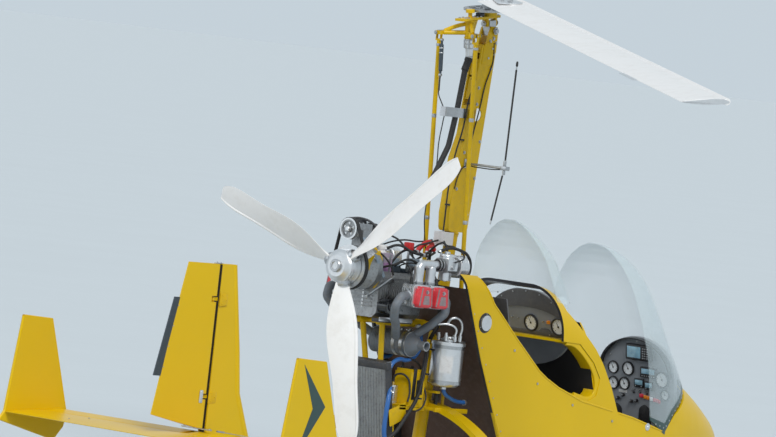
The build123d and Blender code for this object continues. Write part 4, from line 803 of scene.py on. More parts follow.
# radius and points of each cable
mastCables = (
    (0.0032, ((0.030, -0.034, 2.448), (0.036, -0.036, 2.36), (0.020, -0.036, 2.30), (-0.002, -0.036, 2.24),
              (-0.020, -0.036, 2.14), (-0.046, -0.036, 2.02), (-0.066, -0.037, 1.92),
              (-0.072, -0.038, 1.868))),
    (0.0028, ((-0.2445, 0.0545, 2.205), (-0.2465, 0.0510, 2.170), (-0.238, 0.030, 2.125),
              (-0.224, 0.019, 2.090), (-0.226, 0.020, 2.040), (-0.236, 0.022, 1.940), (-0.236, 0.020, 1.820),
              (-0.262, 0.02, 1.70), (-0.280, 0.02, 1.600), (-0.250, 0.03, 1.48), (-0.200, 0.05, 1.40))),
    (0.0038, ((-0.088, -0.026, 2.20), (-0.100, -0.024, 2.16), (-0.114, -0.020, 2.02), (-0.152, -0.020, 1.88),
              (-0.172, -0.020, 1.72), (-0.172, -0.020, 1.58), (-0.172, -0.020, 1.51))),
    (0.0045, ((-0.150, 0.018, 1.45), (-0.172, 0.040, 1.40), (-0.200, 0.045, 1.34), (-0.240, 0.05, 1.31))),
)


def makeMastCables():
    bm = bmesh.new()
    addTubes(bm, mastCables, 10)
    showPiece("mastCables", bm, "rubber")
    ties = bmesh.new()
    for z in mast["ties"]:
        x = mastRearX(z) - 0.014
        addBox(ties, (x - 0.006, -0.030, z - 0.004), (x + 0.014, -0.012, z + 0.004), 0.001)
    showPiece("cableTies", ties, "blackPlastic")


trim = {
    "top": (-0.236, 0.078, 2.432), "foot": (-0.238, 0.062, 2.262), "bands": (0.2, 0.32),
    "hose": ((-0.2425, 0.0575, 2.228), (-0.2460, 0.0520, 2.185)),
    # radius and distance from the top eye
    "profile": ((0.006, 0), (0.006, 0.020), (0.010, 0.024), (0.010, 0.150), (0.006, 0.154), (0.006, 0.168)),
}


def makeTrimCylinder():
    # Dark spring cylinder beside the left push rod
    top = Vector(trim["top"])
    foot = Vector(trim["foot"])
    run = (foot - top).normalized()
    bm = bmesh.new()
    addLathe(bm, closedProfile(trim["profile"]), top, run, 24)
    showPiece("trimCylinder", bm, "slate", "rod_left")
    ends = bmesh.new()
    addDisc(ends, top + Vector((0, -0.006, 0)), (0, 1, 0), 0.0075, 0.010, 20, 0.001)
    addTubes(ends, ((0.004, (top, top + Vector((0.001, 0.011, 0.002)))),), 8)
    addDisc(ends, foot + Vector((0, -0.006, 0)), (0, 1, 0), 0.008, 0.012, 20, 0.001)
    for share in trim["bands"]:
        addDisc(ends, top + run * 0.19 * share, run, 0.0112, 0.006, 24, 0.001)
    showPiece("trimCylinderEyes", ends, "steel", "rod_left")
    hose = bmesh.new()
    addTubes(hose, [(0.0042, (foot, *trim["hose"]))], 10)
    showPiece("trimHose", hose, "rubber", "rod_left")


aerial = {"x": -0.072, "y": -0.27}


def makeAerial():
    bm = bmesh.new()
    addBox(bm, (-0.088, -0.292, 1.838), (-0.056, -0.256, 1.858), 0.002)
    addBox(bm, (-0.092, -0.037, 1.826), (-0.052, -0.0322, 1.870), 0.001)
    addDisc(bm, (aerial["x"], -0.0372, 1.848), (0, -1, 0), 0.011, 0.016, 6, 0.001)
    addDisc(bm, (aerial["x"], aerial["y"], 1.858), (0, 0, 1), 0.008, 0.026, 20, 0.001)
    addDisc(bm, (aerial["x"], aerial["y"], 1.836), (0, 0, -1), 0.0075, 0.020, 20, 0.001)
    for x, z in ((-0.080, 1.834), (-0.064, 1.862)):
        addBolt(bm, (x, -0.037, z), (0, -1, 0), 0.0045)
    showPiece("aerialBase", bm, "steel")
    dark = bmesh.new()
    rows = closedProfile(((0.0035, 0), (0.0058, 0.004), (0.0058, 0.020), (0.003, 0.026)))
    addLathe(dark, rows, (-0.069, -0.27, 2.345), (0, 0, 1), 16)
    addTubes(dark, (
        (0.0046, ((-0.0712, -0.27, 1.886), (-0.0692, -0.27, 2.330))),
        (0.0044, ((-0.1262, -0.27, 1.591), (-0.0800, -0.27, 1.812))),
        (0.0028, ((-0.072, -0.262, 1.842), (-0.074, -0.20, 1.836), (-0.078, -0.10, 1.836),
                  (-0.09, -0.042, 1.834), (-0.12, -0.036, 1.80), (-0.146, -0.036, 1.72))),
    ), 12)
    showPiece("aerialSleeves", dark, "rubber")


makeMastTrim()
makeMastCables()
makeTrimCylinder()
makeAerial()
print("mast")


# Propeller, drive belt and the rotor drive

propeller = {"x": -0.880, "z": 1.300, "hubBack": -0.906, "firstAngle": 138.0, "pulleyRadius": 0.105,
             "beltX": -0.826, "driveY": 0.026, "driveZ": 1.480, "driveRadius": 0.050, "boltCircle": 0.064,
             "beltWidth": 0.020, "beltGap": 0.0008, "beltThick": 0.005}


def makePropellerTrim():
    x, z = propeller["x"], propeller["z"]
    steel = bmesh.new()
    for index in range(6):
        angle = math.radians(60 * index + 18)
        across, up = propeller["boltCircle"] * math.sin(angle), propeller["boltCircle"] * math.cos(angle)
        addBolt(steel, (propeller["hubBack"] - 0.002, across, z + up), (-1, 0, 0), 0.0085)
    rows = ((0.031, 0), (0.031, 0.012), (0.028, 0.015), (0.019, 0.015), (0.019, 0.004))
    addLathe(steel, closedProfile(rows), (propeller["hubBack"] - 0.020, 0, z), (-1, 0, 0), 40)
    showPiece("hubBolts", steel, "steel", "propeller")
    rings = bmesh.new()
    for place, radius, width in ((-0.8405, 0.0835, 0.006), (-0.868, 0.0818, 0.004), (-0.892, 0.0818, 0.004)):
        ring = ((radius - 0.004, 0), (radius, 0.0008), (radius, width - 0.0008), (radius - 0.004, width))
        addLathe(rings, ring, (place, 0, z), (-1, 0, 0), 56, closed=True)
    showPiece("hubRings", rings, "silver", "propeller")
    dark = bmesh.new()
    addDisc(dark, (propeller["hubBack"] - 0.0245, 0, z), (-1, 0, 0), 0.0185, 0.003, 32)
    showPiece("hubCentre", dark, "castDark", "propeller")
    cuffs = bmesh.new()
    for index in range(3):
        angle = math.radians(propeller["firstAngle"] + 120 * index)
        turn = Matrix.Translation((x, 0, z)) @ Matrix.Rotation(angle - math.pi / 2, 4, "X")
        ring = ((0.029, 0.070), (0.033, 0.074), (0.033, 0.090), (0.030, 0.096), (0.026, 0.096),
                (0.026, 0.070))
        addLathe(cuffs, ring, (0, 0, 0), (0, 0, 1), 36, turn, closed=True)
    showPiece("bladeCuffs", cuffs, "steel", "propeller")


def makeBelt():
    # Two arcs round the pulleys, drawn out to the belt's width
    bm = bmesh.new()
    low = Vector((0.0, propeller["z"]))
    high = Vector((propeller["driveY"], propeller["driveZ"]))
    run = high - low
    lean = math.atan2(run.x, run.y)
    wrap = math.asin((propeller["pulleyRadius"] - propeller["driveRadius"]) / run.length)
    gap = propeller["beltGap"]
    width = propeller["beltWidth"]
    line = []
    for centre, radius, start, end in (
        (low, propeller["pulleyRadius"] + gap, math.pi / 2 - wrap, math.pi * 1.5 + wrap),
        (high, propeller["driveRadius"] + gap, math.pi * 1.5 + wrap, math.pi * 2.5 - wrap),
    ):
        for step in range(25):
            angle = start + (end - start) * step / 24 + lean
            across, up = radius * math.sin(angle), radius * math.cos(angle)
            line.append(bm.verts.new((propeller["beltX"] - width / 2, centre.x + across, centre.y + up)))
    edges = [bm.edges.new(pair) for pair in zip(line, line[1:] + line[:1])]
    drawn = bmesh.ops.extrude_edge_only(bm, edges=edges)
    moved = [item for item in drawn["geom"] if isinstance(item, bmesh.types.BMVert)]
    bmesh.ops.translate(bm, vec=(width, 0, 0), verts=moved)
    bmesh.ops.recalc_face_normals(bm, faces=bm.faces)
    bmesh.ops.solidify(bm, geom=list(bm.faces), thickness=-propeller["beltThick"])
    showPiece("driveBelt", bm, "rubber")


def makeDrive():
    y, z = propeller["driveY"], propeller["driveZ"]
    bm = bmesh.new()
    for place in (-0.8375, -0.8125):
        addBand(bm, (place, y, z), (-1, 0, 0), 0.044, 0.0525, 0, 0.0022)
    addLathe(bm, closedProfile(((0.012, 0.0), (0.012, 0.006), (0.009, 0.009))), (-0.8415, y, z), (-1, 0, 0),
             24)
    for index in range(5):
        angle = 2 * math.pi * index / 5
        addBolt(bm, (-0.8320, y + 0.027 * math.sin(angle), z + 0.027 * math.cos(angle)), (-1, 0, 0), 0.0042)
    showPiece("drivePulleyRims", bm, "silver")
    dark = bmesh.new()
    addBox(dark, (-0.812, 0.030, 1.512), (-0.700, 0.062, 1.528), 0.003)
    addTubes(dark, ((0.006, ((-0.80, 0.05, 1.530), (-0.74, 0.03, 1.534), (-0.69, 0.0, 1.515),
                             (-0.66, -0.03, 1.47))),), 10)
    addBox(dark, (-0.700, 0.0, 1.446), (-0.648, 0.056, 1.516), 0.006)
    showPiece("driveClutch", dark, "castDark")
    bolts = bmesh.new()
    for x in (-0.786, -0.756, -0.726):
        for side in (-1, 1):
            addBolt(bolts, (x, y + side * 0.034, z - 0.018), (0, side, 0), 0.0055)
            addBolt(bolts, (x, y + side * 0.020, z + 0.030), (0, 0, 1), 0.0055)
    showPiece("driveBolts", bolts, "steel")


makePropellerTrim()
makeBelt()
makeDrive()
print("propeller and drive")


# Engine: heads, covers, ignition, intake and cooling

engine = {
    "crankZ": 1.195, "reach": 0.190, "headReach": 0.262, "coverReach": 0.305, "headHalf": 0.054,
    "cylinderX": (-0.591, -0.465), "portShift": 0.014, "runnerX": (-0.561, -0.471), "runnerY": 0.214,
    "carbX": -0.360, "carbZ": 1.352, "plugX": (-0.622, -0.432), "leadX": (-0.535, -0.500),
}
engine["cylinders"] = [
    (side, x + (engine["portShift"] if side > 0 else 0)) for side in (-1, 1) for x in engine["cylinderX"]
]


def makeHeads():
    ribs = bmesh.new()
    bolts = bmesh.new()
    pads = bmesh.new()
    flanges = bmesh.new()
    z = engine["crankZ"]
    half = engine["headHalf"]
    for side, x in engine["cylinders"]:
        outline = ((x - half - 0.004, z - half + 0.004), (x + half + 0.004, z - half + 0.004),
                   (x + half + 0.004, z + half + 0.003), (x - half - 0.004, z + half + 0.003))
        for step in range(6):
            y = side * (engine["reach"] + 0.006 + 0.0122 * step)
            addPlate(ribs, outline, y - 0.0014, y + 0.0014, "XZ", 0.0, 0.016)
        y = side * (engine["headReach"] + 0.001)
        addPlate(ribs, outline, y - 0.003, y + 0.003, "XZ", 0.001, 0.016)
        for dx, dz in ((-0.034, 0.040), (0.034, 0.040), (-0.045, -0.040), (0.045, -0.040)):
            addBolt(bolts, (x + dx, side * (engine["headReach"] + 0.006), z + dz), (0, side, 0), 0.0052)
        addBolt(bolts, (x, side * engine["coverReach"], z + 0.026), (0, side, 0), 0.0075)
        outline = ((x - 0.026, z - 0.034), (x + 0.026, z - 0.034), (x + 0.017, z + 0.010),
                   (x - 0.017, z + 0.010))
        y = side * engine["coverReach"]
        addPlate(pads, outline, min(y, y + side * 0.0012), max(y, y + side * 0.0012), "XZ", 0.0, 0.006)
        for turn in (-1, 1):
            outline = ((x + turn * 0.030, z + 0.046), (x + turn * 0.036, z + 0.046),
                       (x + turn * 0.048, z - 0.04), (x + turn * 0.042, z - 0.04))
            addPlate(pads, outline, min(y - side * 0.004, y), max(y - side * 0.004, y))
    for side, x in engine["cylinders"]:
        way = -1 if x < -0.53 else 1
        place = (x + way * (half + 0.004), side * 0.232, z - 0.002)
        addDisc(flanges, place, (way, 0, 0), 0.031, 0.007, 28, 0.0015)
        for up in (-0.032, 0.032):
            addBolt(flanges, (place[0] + way * 0.002, place[1], place[2] + up), (way, 0, 0), 0.0055)
    showPiece("headRibs", ribs, "silver")
    showPiece("headBolts", bolts, "steel")
    showPiece("coverPads", pads, "padGrey")
    showPiece("exhaustFlanges", flanges, "steel")


def makeIgnition():
    caps = bmesh.new()
    leads = []
    z = engine["crankZ"] + engine["headHalf"]
    for side in (-1, 1):
        for x, far in zip(engine["plugX"], engine["leadX"]):
            rows = ((0.0105, 0.0), (0.0105, 0.010), (0.0085, 0.013), (0.0085, 0.030), (0.0065, 0.036))
            addLathe(caps, closedProfile(rows), (x, side * 0.226, z), (0, -side * 0.1, 1), 16)
            leads.append((0.0036, (
                (x, side * 0.222, z + 0.034), (x + (far - x) * 0.15, side * 0.200, z + 0.066),
                (x + (far - x) * 0.6, side * 0.12, z + 0.096), (far, side * 0.058, z + 0.084),
                (far, side * 0.036, z + 0.070),
            )))
    addTubes(caps, leads, 10)
    showPiece("sparkLeads", caps, "rubber")
    boxes = bmesh.new()
    for low, high in (((-0.548, -0.040, 1.291), (-0.486, 0.040, 1.322)),
                      ((-0.470, -0.045, 1.291), (-0.420, 0.045, 1.312))):
        addBox(boxes, low, high, 0.004)
    addBox(boxes, (-0.690, -0.020, 1.404), (-0.650, 0.046, 1.420), 0.003)
    showPiece("ignitionBoxes", boxes, "slate")
    pale = bmesh.new()
    addBox(pale, (-0.452, -0.085, 1.330), (-0.404, -0.044, 1.366), 0.004)
    addBox(pale, (-0.442, 0.040, 1.318), (-0.404, 0.080, 1.356), 0.004)
    for y in (-0.030, 0.0, 0.030):
        addBox(pale, (-0.540, y - 0.010, 1.322), (-0.494, y + 0.010, 1.330), 0.002)
    showPiece("coilPacks", pale, "paleBlue")
    legs = bmesh.new()
    addPlate(legs, ((-0.440, 1.292), (-0.428, 1.292), (-0.428, 1.332), (-0.440, 1.332)), -0.072, -0.046, "XZ",
             0.001)
    addPlate(legs, ((-0.430, 1.292), (-0.420, 1.292), (-0.420, 1.320), (-0.430, 1.320)), 0.046, 0.072, "XZ",
             0.001)
    addPlate(legs, ((-0.462, 1.300), (-0.452, 1.300), (-0.452, 1.412), (-0.462, 1.412)), -0.056, -0.046, "XZ",
             0.001)
    showPiece("coilLegs", legs, "steel")
    red = bmesh.new()
    addBox(red, (-0.478, -0.070, 1.404), (-0.440, -0.032, 1.442), 0.005)
    addTubes(red, ((0.012, ((-0.310, 0.02, 1.395), (-0.262, 0.018, 1.436), (-0.214, 0.018, 1.446),
                            (-0.176, 0.02, 1.41))),
                   (0.009, ((-0.300, -0.03, 1.390), (-0.270, -0.02, 1.425), (-0.235, -0.01, 1.430)))), 16)
    showPiece("redFittings", red, "redPlastic")


# radius and points of each hose that has no twin on the other side
engineHoses = (
    (0.0075, ((-0.397, -0.196, 1.418), (-0.345, -0.208, 1.436), (-0.275, -0.216, 1.432),
              (-0.200, -0.216, 1.404), (-0.172, -0.214, 1.352), (-0.190, -0.214, 1.306),
              (-0.232, -0.214, 1.296))),
    (0.0065, ((-0.605, -0.020, 1.398), (-0.560, -0.070, 1.425), (-0.500, -0.105, 1.400),
              (-0.440, -0.115, 1.390), (-0.360, -0.100, 1.400), (-0.300, -0.060, 1.370))),
    (0.0055, ((-0.640, 0.0, 1.300), (-0.600, -0.085, 1.330), (-0.520, -0.110, 1.362), (-0.450, -0.140, 1.340),
              (-0.405, -0.165, 1.345))),
    (0.0060, ((-0.520, 0.0, 1.330), (-0.470, -0.010, 1.385), (-0.400, -0.012, 1.405), (-0.320, -0.016, 1.390),
              (-0.240, 0.0, 1.380), (-0.180, 0.010, 1.40))),
    (0.0045, ((-0.430, -0.064, 1.364), (-0.440, -0.060, 1.400), (-0.400, -0.050, 1.425),
              (-0.300, -0.020, 1.440), (-0.180, 0.0, 1.462))),
    (0.0045, ((-0.690, -0.060, 1.385), (-0.640, -0.085, 1.340), (-0.610, -0.100, 1.270),
              (-0.640, -0.112, 1.190), (-0.690, -0.110, 1.130))),
    (0.0075, ((-0.330, 0.05, 1.32), (-0.300, 0.03, 1.26), (-0.290, 0.02, 1.18), (-0.300, 0.0, 1.10),
              (-0.330, -0.02, 1.04))),
)


def makeIntake():
    sleeves = bmesh.new()
    clamps = bmesh.new()
    rubber = bmesh.new()
    levers = bmesh.new()
    hoses = []
    carbX, carbZ = engine["carbX"], engine["carbZ"]
    for side in (-1, 1):
        y = side * engine["runnerY"]
        for x in engine["runnerX"]:
            rows = ((0.0205, 0.0), (0.0250, 0.004), (0.0255, 0.012), (0.0232, 0.020), (0.0245, 0.050),
                    (0.0250, 0.072), (0.0225, 0.084), (0.0205, 0.088))
            addLathe(sleeves, rows, (x, y, 1.256), (0, 0, 1), 32)
            addClamp(clamps, (x, y, 1.262), (0, 0, 1), 0.0262, 0.008)
            for turn in (-1, 1):
                addBolt(levers, (x + turn * 0.030, y + side * 0.004, 1.2525), (0, 0, 1), 0.0048)
        # joint sleeve, carburettor rings, screws and float bowl clip
        rows = ((0.0205, 0), (0.0275, 0.003), (0.0275, 0.034), (0.0205, 0.037))
        addLathe(rubber, rows, (-0.434, y, carbZ), (1, 0, 0), 28)
        for x in (-0.427, -0.406):
            addClamp(clamps, (x, y, carbZ), (1, 0, 0), 0.0280, 0.007)
        addClamp(clamps, (-0.314, y, carbZ), (1, 0, 0), 0.0285, 0.009)
        top = carbZ + 0.030
        for radius, start, deep in ((0.0385, 0.0, 0.007), (0.0370, 0.012, 0.003), (0.0140, 0.028, 0.010)):
            addDisc(sleeves, (carbX, y, top + start), (0, 0, 1), radius, deep, 32, 0.0012)
        for index in range(4):
            angle = math.radians(45 + 90 * index)
            addBolt(levers, (carbX + 0.031 * math.cos(angle), y + 0.031 * math.sin(angle), top + 0.007),
                    (0, 0, 1), 0.0034)
        addDisc(levers, (carbX, y, 1.2765), (0, 0, 1), 0.010, 0.005, 6)
        addTubes(levers, ((0.0014, (
            (-0.360, y - 0.031, 1.330), (-0.360, y - 0.0315, 1.290), (-0.360, y - 0.012, 1.2785),
            (-0.360, y + 0.012, 1.2785), (-0.360, y + 0.0315, 1.290), (-0.360, y + 0.031, 1.330))),), 8)
        outer = y + side * 0.042
        low, high = sorted((outer, outer + side * 0.003))
        outline = ((-0.376, 1.334), (-0.352, 1.334), (-0.336, 1.372), (-0.346, 1.378), (-0.372, 1.352))
        addPlate(levers, outline, low, high, "XZ", 0.0006, 0.004)
        addDisc(levers, (-0.362, outer, 1.346), (0, side, 0), 0.009, 0.010, 20, 0.001)
        # filter drum: ridges, end cap and its bolt
        for x in (-0.297, -0.280, -0.263, -0.246):
            addRidge(sleeves, (x, y, carbZ), (1, 0, 0), 0.0530, 0.0556, 0.0022, 0.001, 48)
        addLathe(sleeves, closedProfile(((0.040, 0.0), (0.040, 0.003), (0.034, 0.005))), (-0.236, y, carbZ),
                 (1, 0, 0), 40)
        addBolt(levers, (-0.231, y, carbZ), (1, 0, 0), 0.007)
        hoses += [
            (0.0040, ((-0.352, y + side * 0.046, 1.372), (-0.300, y + side * 0.056, 1.395),
                      (-0.252, y * 0.8, 1.440), (-0.210, side * 0.08, 1.445), (-0.176, side * 0.036, 1.46))),
            (0.0048, ((-0.360, y, 1.418), (-0.364, y * 0.92, 1.452), (-0.340, y * 0.66, 1.452),
                      (-0.330, y * 0.3, 1.400), (-0.334, side * 0.006, 1.360))),
            (0.0060, ((-0.392, y - side * 0.030, 1.330), (-0.420, y - side * 0.060, 1.322),
                      (-0.440, side * 0.10, 1.330), (-0.470, side * 0.085, 1.300))),
            (0.0052, ((-0.330, y - side * 0.03, 1.330), (-0.300, y - side * 0.06, 1.30),
                      (-0.300, side * 0.10, 1.24), (-0.330, side * 0.09, 1.18),
                      (-0.370, side * 0.085, 1.15))),
        ]
    hoses += engineHoses
    showPiece("runnerSleeves", sleeves, "silver")
    showPiece("intakeClamps", clamps, "steel")
    showPiece("carburettorLevers", levers, "steel")
    addTubes(rubber, hoses, 12)
    showPiece("engineHoses", rubber, "rubber")
    collars = bmesh.new()
    for place, axis, radius in (
        ((-0.397, -0.196, 1.416), (0.4, -0.1, 0.5), 0.0078), ((-0.228, -0.214, 1.296), (-1, 0, 0.1), 0.0078),
        ((-0.600, -0.026, 1.400), (0.5, -0.6, 0.3), 0.0068),
    ):
        addClamp(collars, place, axis, radius, 0.008)
    for place in ((-0.330, -0.064, 1.400), (-0.420, -0.115, 1.389), (-0.350, -0.014, 1.398)):
        addBox(collars, (place[0] - 0.007, place[1] - 0.009, place[2] - 0.009),
               (place[0] + 0.007, place[1] + 0.009, place[2] + 0.009), 0.002)
    showPiece("hoseCollars", collars, "silver")


# radius and points of each coolant and oil hose
blueHoses = (
    (0.0105, ((-0.352, -0.080, 1.050), (-0.342, -0.096, 0.990), (-0.350, -0.100, 0.925),
              (-0.420, -0.100, 0.878), (-0.500, -0.100, 0.876), (-0.546, -0.100, 0.846),
              (-0.556, -0.100, 0.790), (-0.548, -0.100, 0.730))),
    (0.0105, ((-0.352, 0.060, 1.050), (-0.342, 0.055, 0.980), (-0.372, 0.050, 0.890), (-0.440, 0.046, 0.872),
              (-0.486, 0.036, 0.850), (-0.494, 0.006, 0.810), (-0.494, 0.000, 0.750),
              (-0.544, 0.000, 0.705))),
    (0.0115, ((-0.560, -0.120, 0.745), (-0.590, -0.143, 0.690), (-0.600, -0.146, 0.600),
              (-0.596, -0.146, 0.520), (-0.560, -0.140, 0.462), (-0.540, -0.122, 0.452))),
    (0.0100, ((-0.258, -0.205, 0.772), (-0.250, -0.204, 0.742), (-0.205, -0.202, 0.716),
              (-0.140, -0.200, 0.698), (-0.070, -0.200, 0.694))),
)


coolantBottle = {"x": -0.605, "neckZ": 1.381, "straps": (-0.632, -0.578)}


def makeCooling():
    # Expansion bottle: coloured fluid, moulded seams, white neck and cap
    fluid = bmesh.new()
    addBox(fluid, (-0.6508, -0.0408, 1.2915), (-0.5592, 0.0408, 1.3360), 0.004)
    showPiece("coolantFluid", fluid, "coolant")
    bottle = bmesh.new()
    addBox(bottle, (-0.6512, -0.0412, 1.3540), (-0.5588, 0.0412, 1.3580), 0.001)
    addLathe(bottle, closedProfile(((0.030, 0), (0.026, 0.006), (0.026, 0.014))),
             (coolantBottle["x"], 0, coolantBottle["neckZ"]), (0, 0, 1), 28)
    addDisc(bottle, (coolantBottle["x"], 0, coolantBottle["neckZ"] + 0.014), (0, 0, 1), 0.029, 0.022, 12,
            0.003)
    addBox(bottle, (-0.560, -0.030, 1.300), (-0.554, 0.030, 1.372), 0.002)
    showPiece("bottleCap", bottle, "boxWhite")
    strap = bmesh.new()
    for x in coolantBottle["straps"]:
        addBox(strap, (x - 0.006, -0.0425, 1.291), (x + 0.006, -0.0408, 1.376), 0.0005)
        addBox(strap, (x - 0.006, 0.0408, 1.291), (x + 0.006, 0.0425, 1.376), 0.0005)
    showPiece("bottleStraps", strap, "steel")
    blue = bmesh.new()
    addTubes(blue, blueHoses, 16)
    showPiece("blueHoses", blue, "blueHose")
    bands = bmesh.new()
    for place, axis in (((-0.549, -0.100, 0.738), (0.2, 0, -1)), ((-0.536, 0.000, 0.709), (-1, 0, -0.8)),
                        ((-0.572, -0.131, 0.720), (-0.6, -0.4, -1)), ((-0.562, -0.141, 0.464), (1, 0, -0.8)),
                        ((-0.352, -0.081, 1.042), (0, 0, 1)), ((-0.352, 0.060, 1.042), (0, 0, 1)),
                        ((-0.078, -0.200, 0.6945), (1, 0, 0)), ((-0.257, -0.205, 0.760), (0, 0, 1))):
        addClamp(bands, place, axis, 0.0122, 0.012)
    showPiece("blueHoseClamps", bands, "silver")


# Radiator leaning on the frame's rear struts: tanks, tubes, fins and corner brackets

radiator = {"foot": (-0.470, 0.380), "head": (-0.606, 1.049), "near": 0.0143, "thick": 0.045,
            "span": (0.062, 0.500), "half": 0.128, "fins": 66}


def makeRadiator():
    footX, footZ = radiator["foot"]
    headX, headZ = radiator["head"]
    lean = math.atan2(headX - footX, headZ - footZ)
    # own frame: X aft, Z up along the core
    turn = Matrix.Rotation(lean, 4, "Y") @ Matrix.Rotation(math.pi, 4, "Z")
    turn = Matrix.Translation((footX, 0, footZ)) @ turn
    near = radiator["near"]
    far = near + radiator["thick"]
    low, high = radiator["span"]
    half = radiator["half"]
    tanks = bmesh.new()
    for start, end in ((low - 0.001, low + 0.036), (high - 0.036, high + 0.001)):
        addBox(tanks, (near - 0.001, -half - 0.001, start), (far + 0.003, half + 0.001, end), 0.006, turn)
    for side in (-1, 1):
        first, last = sorted((side * half, side * (half + 0.003)))
        addBox(tanks, (near, first, low + 0.03), (far + 0.002, last, high - 0.03), 0.001, turn)
    for up in (low + 0.018, high - 0.018):
        for side in (-1, 1):
            addBox(tanks, (far - 0.02, side * half - 0.012, up - 0.016),
                   (far + 0.004, side * half + 0.012, up + 0.016), 0.002, turn)
    showPiece("radiatorTanks", tanks, "castDark")
    tubes = bmesh.new()
    rows = 15
    for index in range(rows):
        across = -half + (index + 0.5) * 2 * half / rows
        addBox(tubes, (far, across - 0.0016, low + 0.034), (far + 0.0022, across + 0.0016, high - 0.034),
               matrix=turn)
        addBox(tubes, (near - 0.0012, across - 0.0016, low + 0.034), (near, across + 0.0016, high - 0.034),
               matrix=turn)
    for index in range(radiator["fins"]):
        up = low + 0.038 + index * (high - low - 0.076) / (radiator["fins"] - 1)
        addBox(tubes, (far, -half + 0.002, up - 0.0007), (far + 0.0012, half - 0.002, up + 0.0007),
               matrix=turn)
        addBox(tubes, (near - 0.0008, -half + 0.002, up - 0.0007), (near, half - 0.002, up + 0.0007),
               matrix=turn)
    showPiece("radiatorFins", tubes, "castGrey")


# Exhaust: wrap, straps, seams and the mouth

exhaust = {
    "x": -0.425, "z": 0.955, "wraps": 13, "wrapStart": -0.020, "wrapStep": 0.0105, "straps": (-0.040, -0.088),
    "seams": (-0.112, 0.112),
    # place and axis of each pipe's clamp
    "clamps": (
        ((-0.641, -0.232, 1.194), (1, 0, 0.05)), ((-0.415, -0.232, 1.188), (1, 0, 0)),
        ((-0.627, 0.232, 1.194), (1, 0, 0.05)), ((-0.401, 0.232, 1.188), (1, 0, 0)),
    ),
}


def makeExhaust():
    x, z = exhaust["x"], exhaust["z"]
    wrap = bmesh.new()
    ring = ((0.0598, -0.0045), (0.0616, -0.0030), (0.0622, 0.0), (0.0616, 0.0030), (0.0598, 0.0045))
    for index in range(exhaust["wraps"]):
        y = exhaust["wrapStart"] + index * exhaust["wrapStep"]
        addLathe(wrap, ring, (x, y, z), (0, 1, 0), 40, closed=True)
    showPiece("mufflerWrap", wrap, "exhaustDark")
    straps = bmesh.new()
    for y in exhaust["straps"]:
        addBand(straps, (x, y, z), (0, 1, 0), 0.0602, 0.0624, -0.009, 0.009)
        addBox(straps, (x - 0.010, y - 0.009, z + 0.060), (x + 0.010, y + 0.009, z + 0.074), 0.002)
        addTubes(straps, ((0.0035, ((x - 0.020, y, z + 0.068), (x + 0.020, y, z + 0.068))),), 8)
    for y in exhaust["seams"]:
        addBand(straps, (x, y, z), (0, 1, 0), 0.0590, 0.0622, -0.002, 0.002)
    addBand(straps, (x, -0.205, z), (0, 1, 0), 0.0195, 0.0240, -0.001, 0.004, 32)
    showPiece("mufflerStraps", straps, "steel")
    mouth = bmesh.new()
    addDisc(mouth, (x, -0.150, z), (0, -1, 0), 0.0186, 0.002, 28)
    showPiece("exhaustMouth", mouth, "castDark")
    bands = bmesh.new()
    for place, axis in exhaust["clamps"]:
        addClamp(bands, place, axis, 0.0216, 0.012)
    showPiece("exhaustClamps", bands, "steel")


# Oil tank, battery, pump, brackets and the cable bundle

tank = {
    "x": -0.258, "y": -0.205, "top": 0.993, "radius": 0.078, "ports": 0.052, "label": (0.836, 0.918),
    "labelStart": 196, "labelSpan": 46,
}


def makeTank():
    x, y = tank["x"], tank["y"]
    bright = bmesh.new()
    for z, width in ((0.806, 0.005), (0.945, 0.005), (0.958, 0.003)):
        addBand(bright, (x, y, z), (0, 0, 1), tank["radius"] - 0.001, tank["radius"] + 0.0012, 0, width, 56)
    addLathe(bright, closedProfile(((0.040, 0.0), (0.040, 0.004), (0.030, 0.010), (0.028, 0.014))),
             (x, y, tank["top"]), (0, 0, 1), 36)
    for angle, height in ((200, 0.030), (250, 0.024), (300, 0.030), (130, 0.026)):
        portX = x + tank["ports"] * math.cos(math.radians(angle))
        portY = y + tank["ports"] * math.sin(math.radians(angle))
        portZ = tank["top"] - 0.003
        addDisc(bright, (portX, portY, portZ), (0, 0, 1), 0.009, height, 6, 0.001)
        addDisc(bright, (portX, portY, portZ + height), (0, 0, 1), 0.0065, 0.010, 16, 0.001)
    addBox(bright, (x + 0.078, y - 0.022, 0.976), (x + 0.104, y - 0.002, 0.992), 0.002)
    addTubes(bright, (
        (0.0065, ((x + 0.026, y - 0.045, 1.020), (x + 0.030, y - 0.048, 1.065), (x + 0.012, y - 0.040, 1.098),
                  (x - 0.020, y - 0.020, 1.100), (x - 0.030, y, 1.070))),
        (0.0055, ((x - 0.018, y - 0.049, 1.018), (x - 0.020, y - 0.052, 1.052), (x - 0.046, y - 0.030, 1.070),
                  (x - 0.085, y + 0.010, 1.066))),
    ), 14)
    addBolt(bright, (x + 0.104, y - 0.012, 0.984), (1, 0, 0), 0.006)
    showPiece("tankFittings", bright, "silver")
    # bare label: an upright line spun part of the way round the tank
    label = bmesh.new()
    part = bmesh.new()
    verts = [part.verts.new((tank["radius"] + 0.0004, 0, z)) for z in tank["label"]]
    bmesh.ops.spin(part, geom=verts + [part.edges.new(verts)], cent=(0, 0, 0), axis=(0, 0, 1), dvec=(0, 0, 0),
                   angle=math.radians(tank["labelSpan"]), steps=10)
    bmesh.ops.recalc_face_normals(part, faces=part.faces)
    bmesh.ops.solidify(part, geom=list(part.faces), thickness=0.0005)
    turn = Matrix.Rotation(math.radians(tank["labelStart"]), 4, "Z")
    addPart(label, part, Matrix.Translation((x, y, 0)) @ turn)
    showPiece("tankLabel", label, "boxWhite")


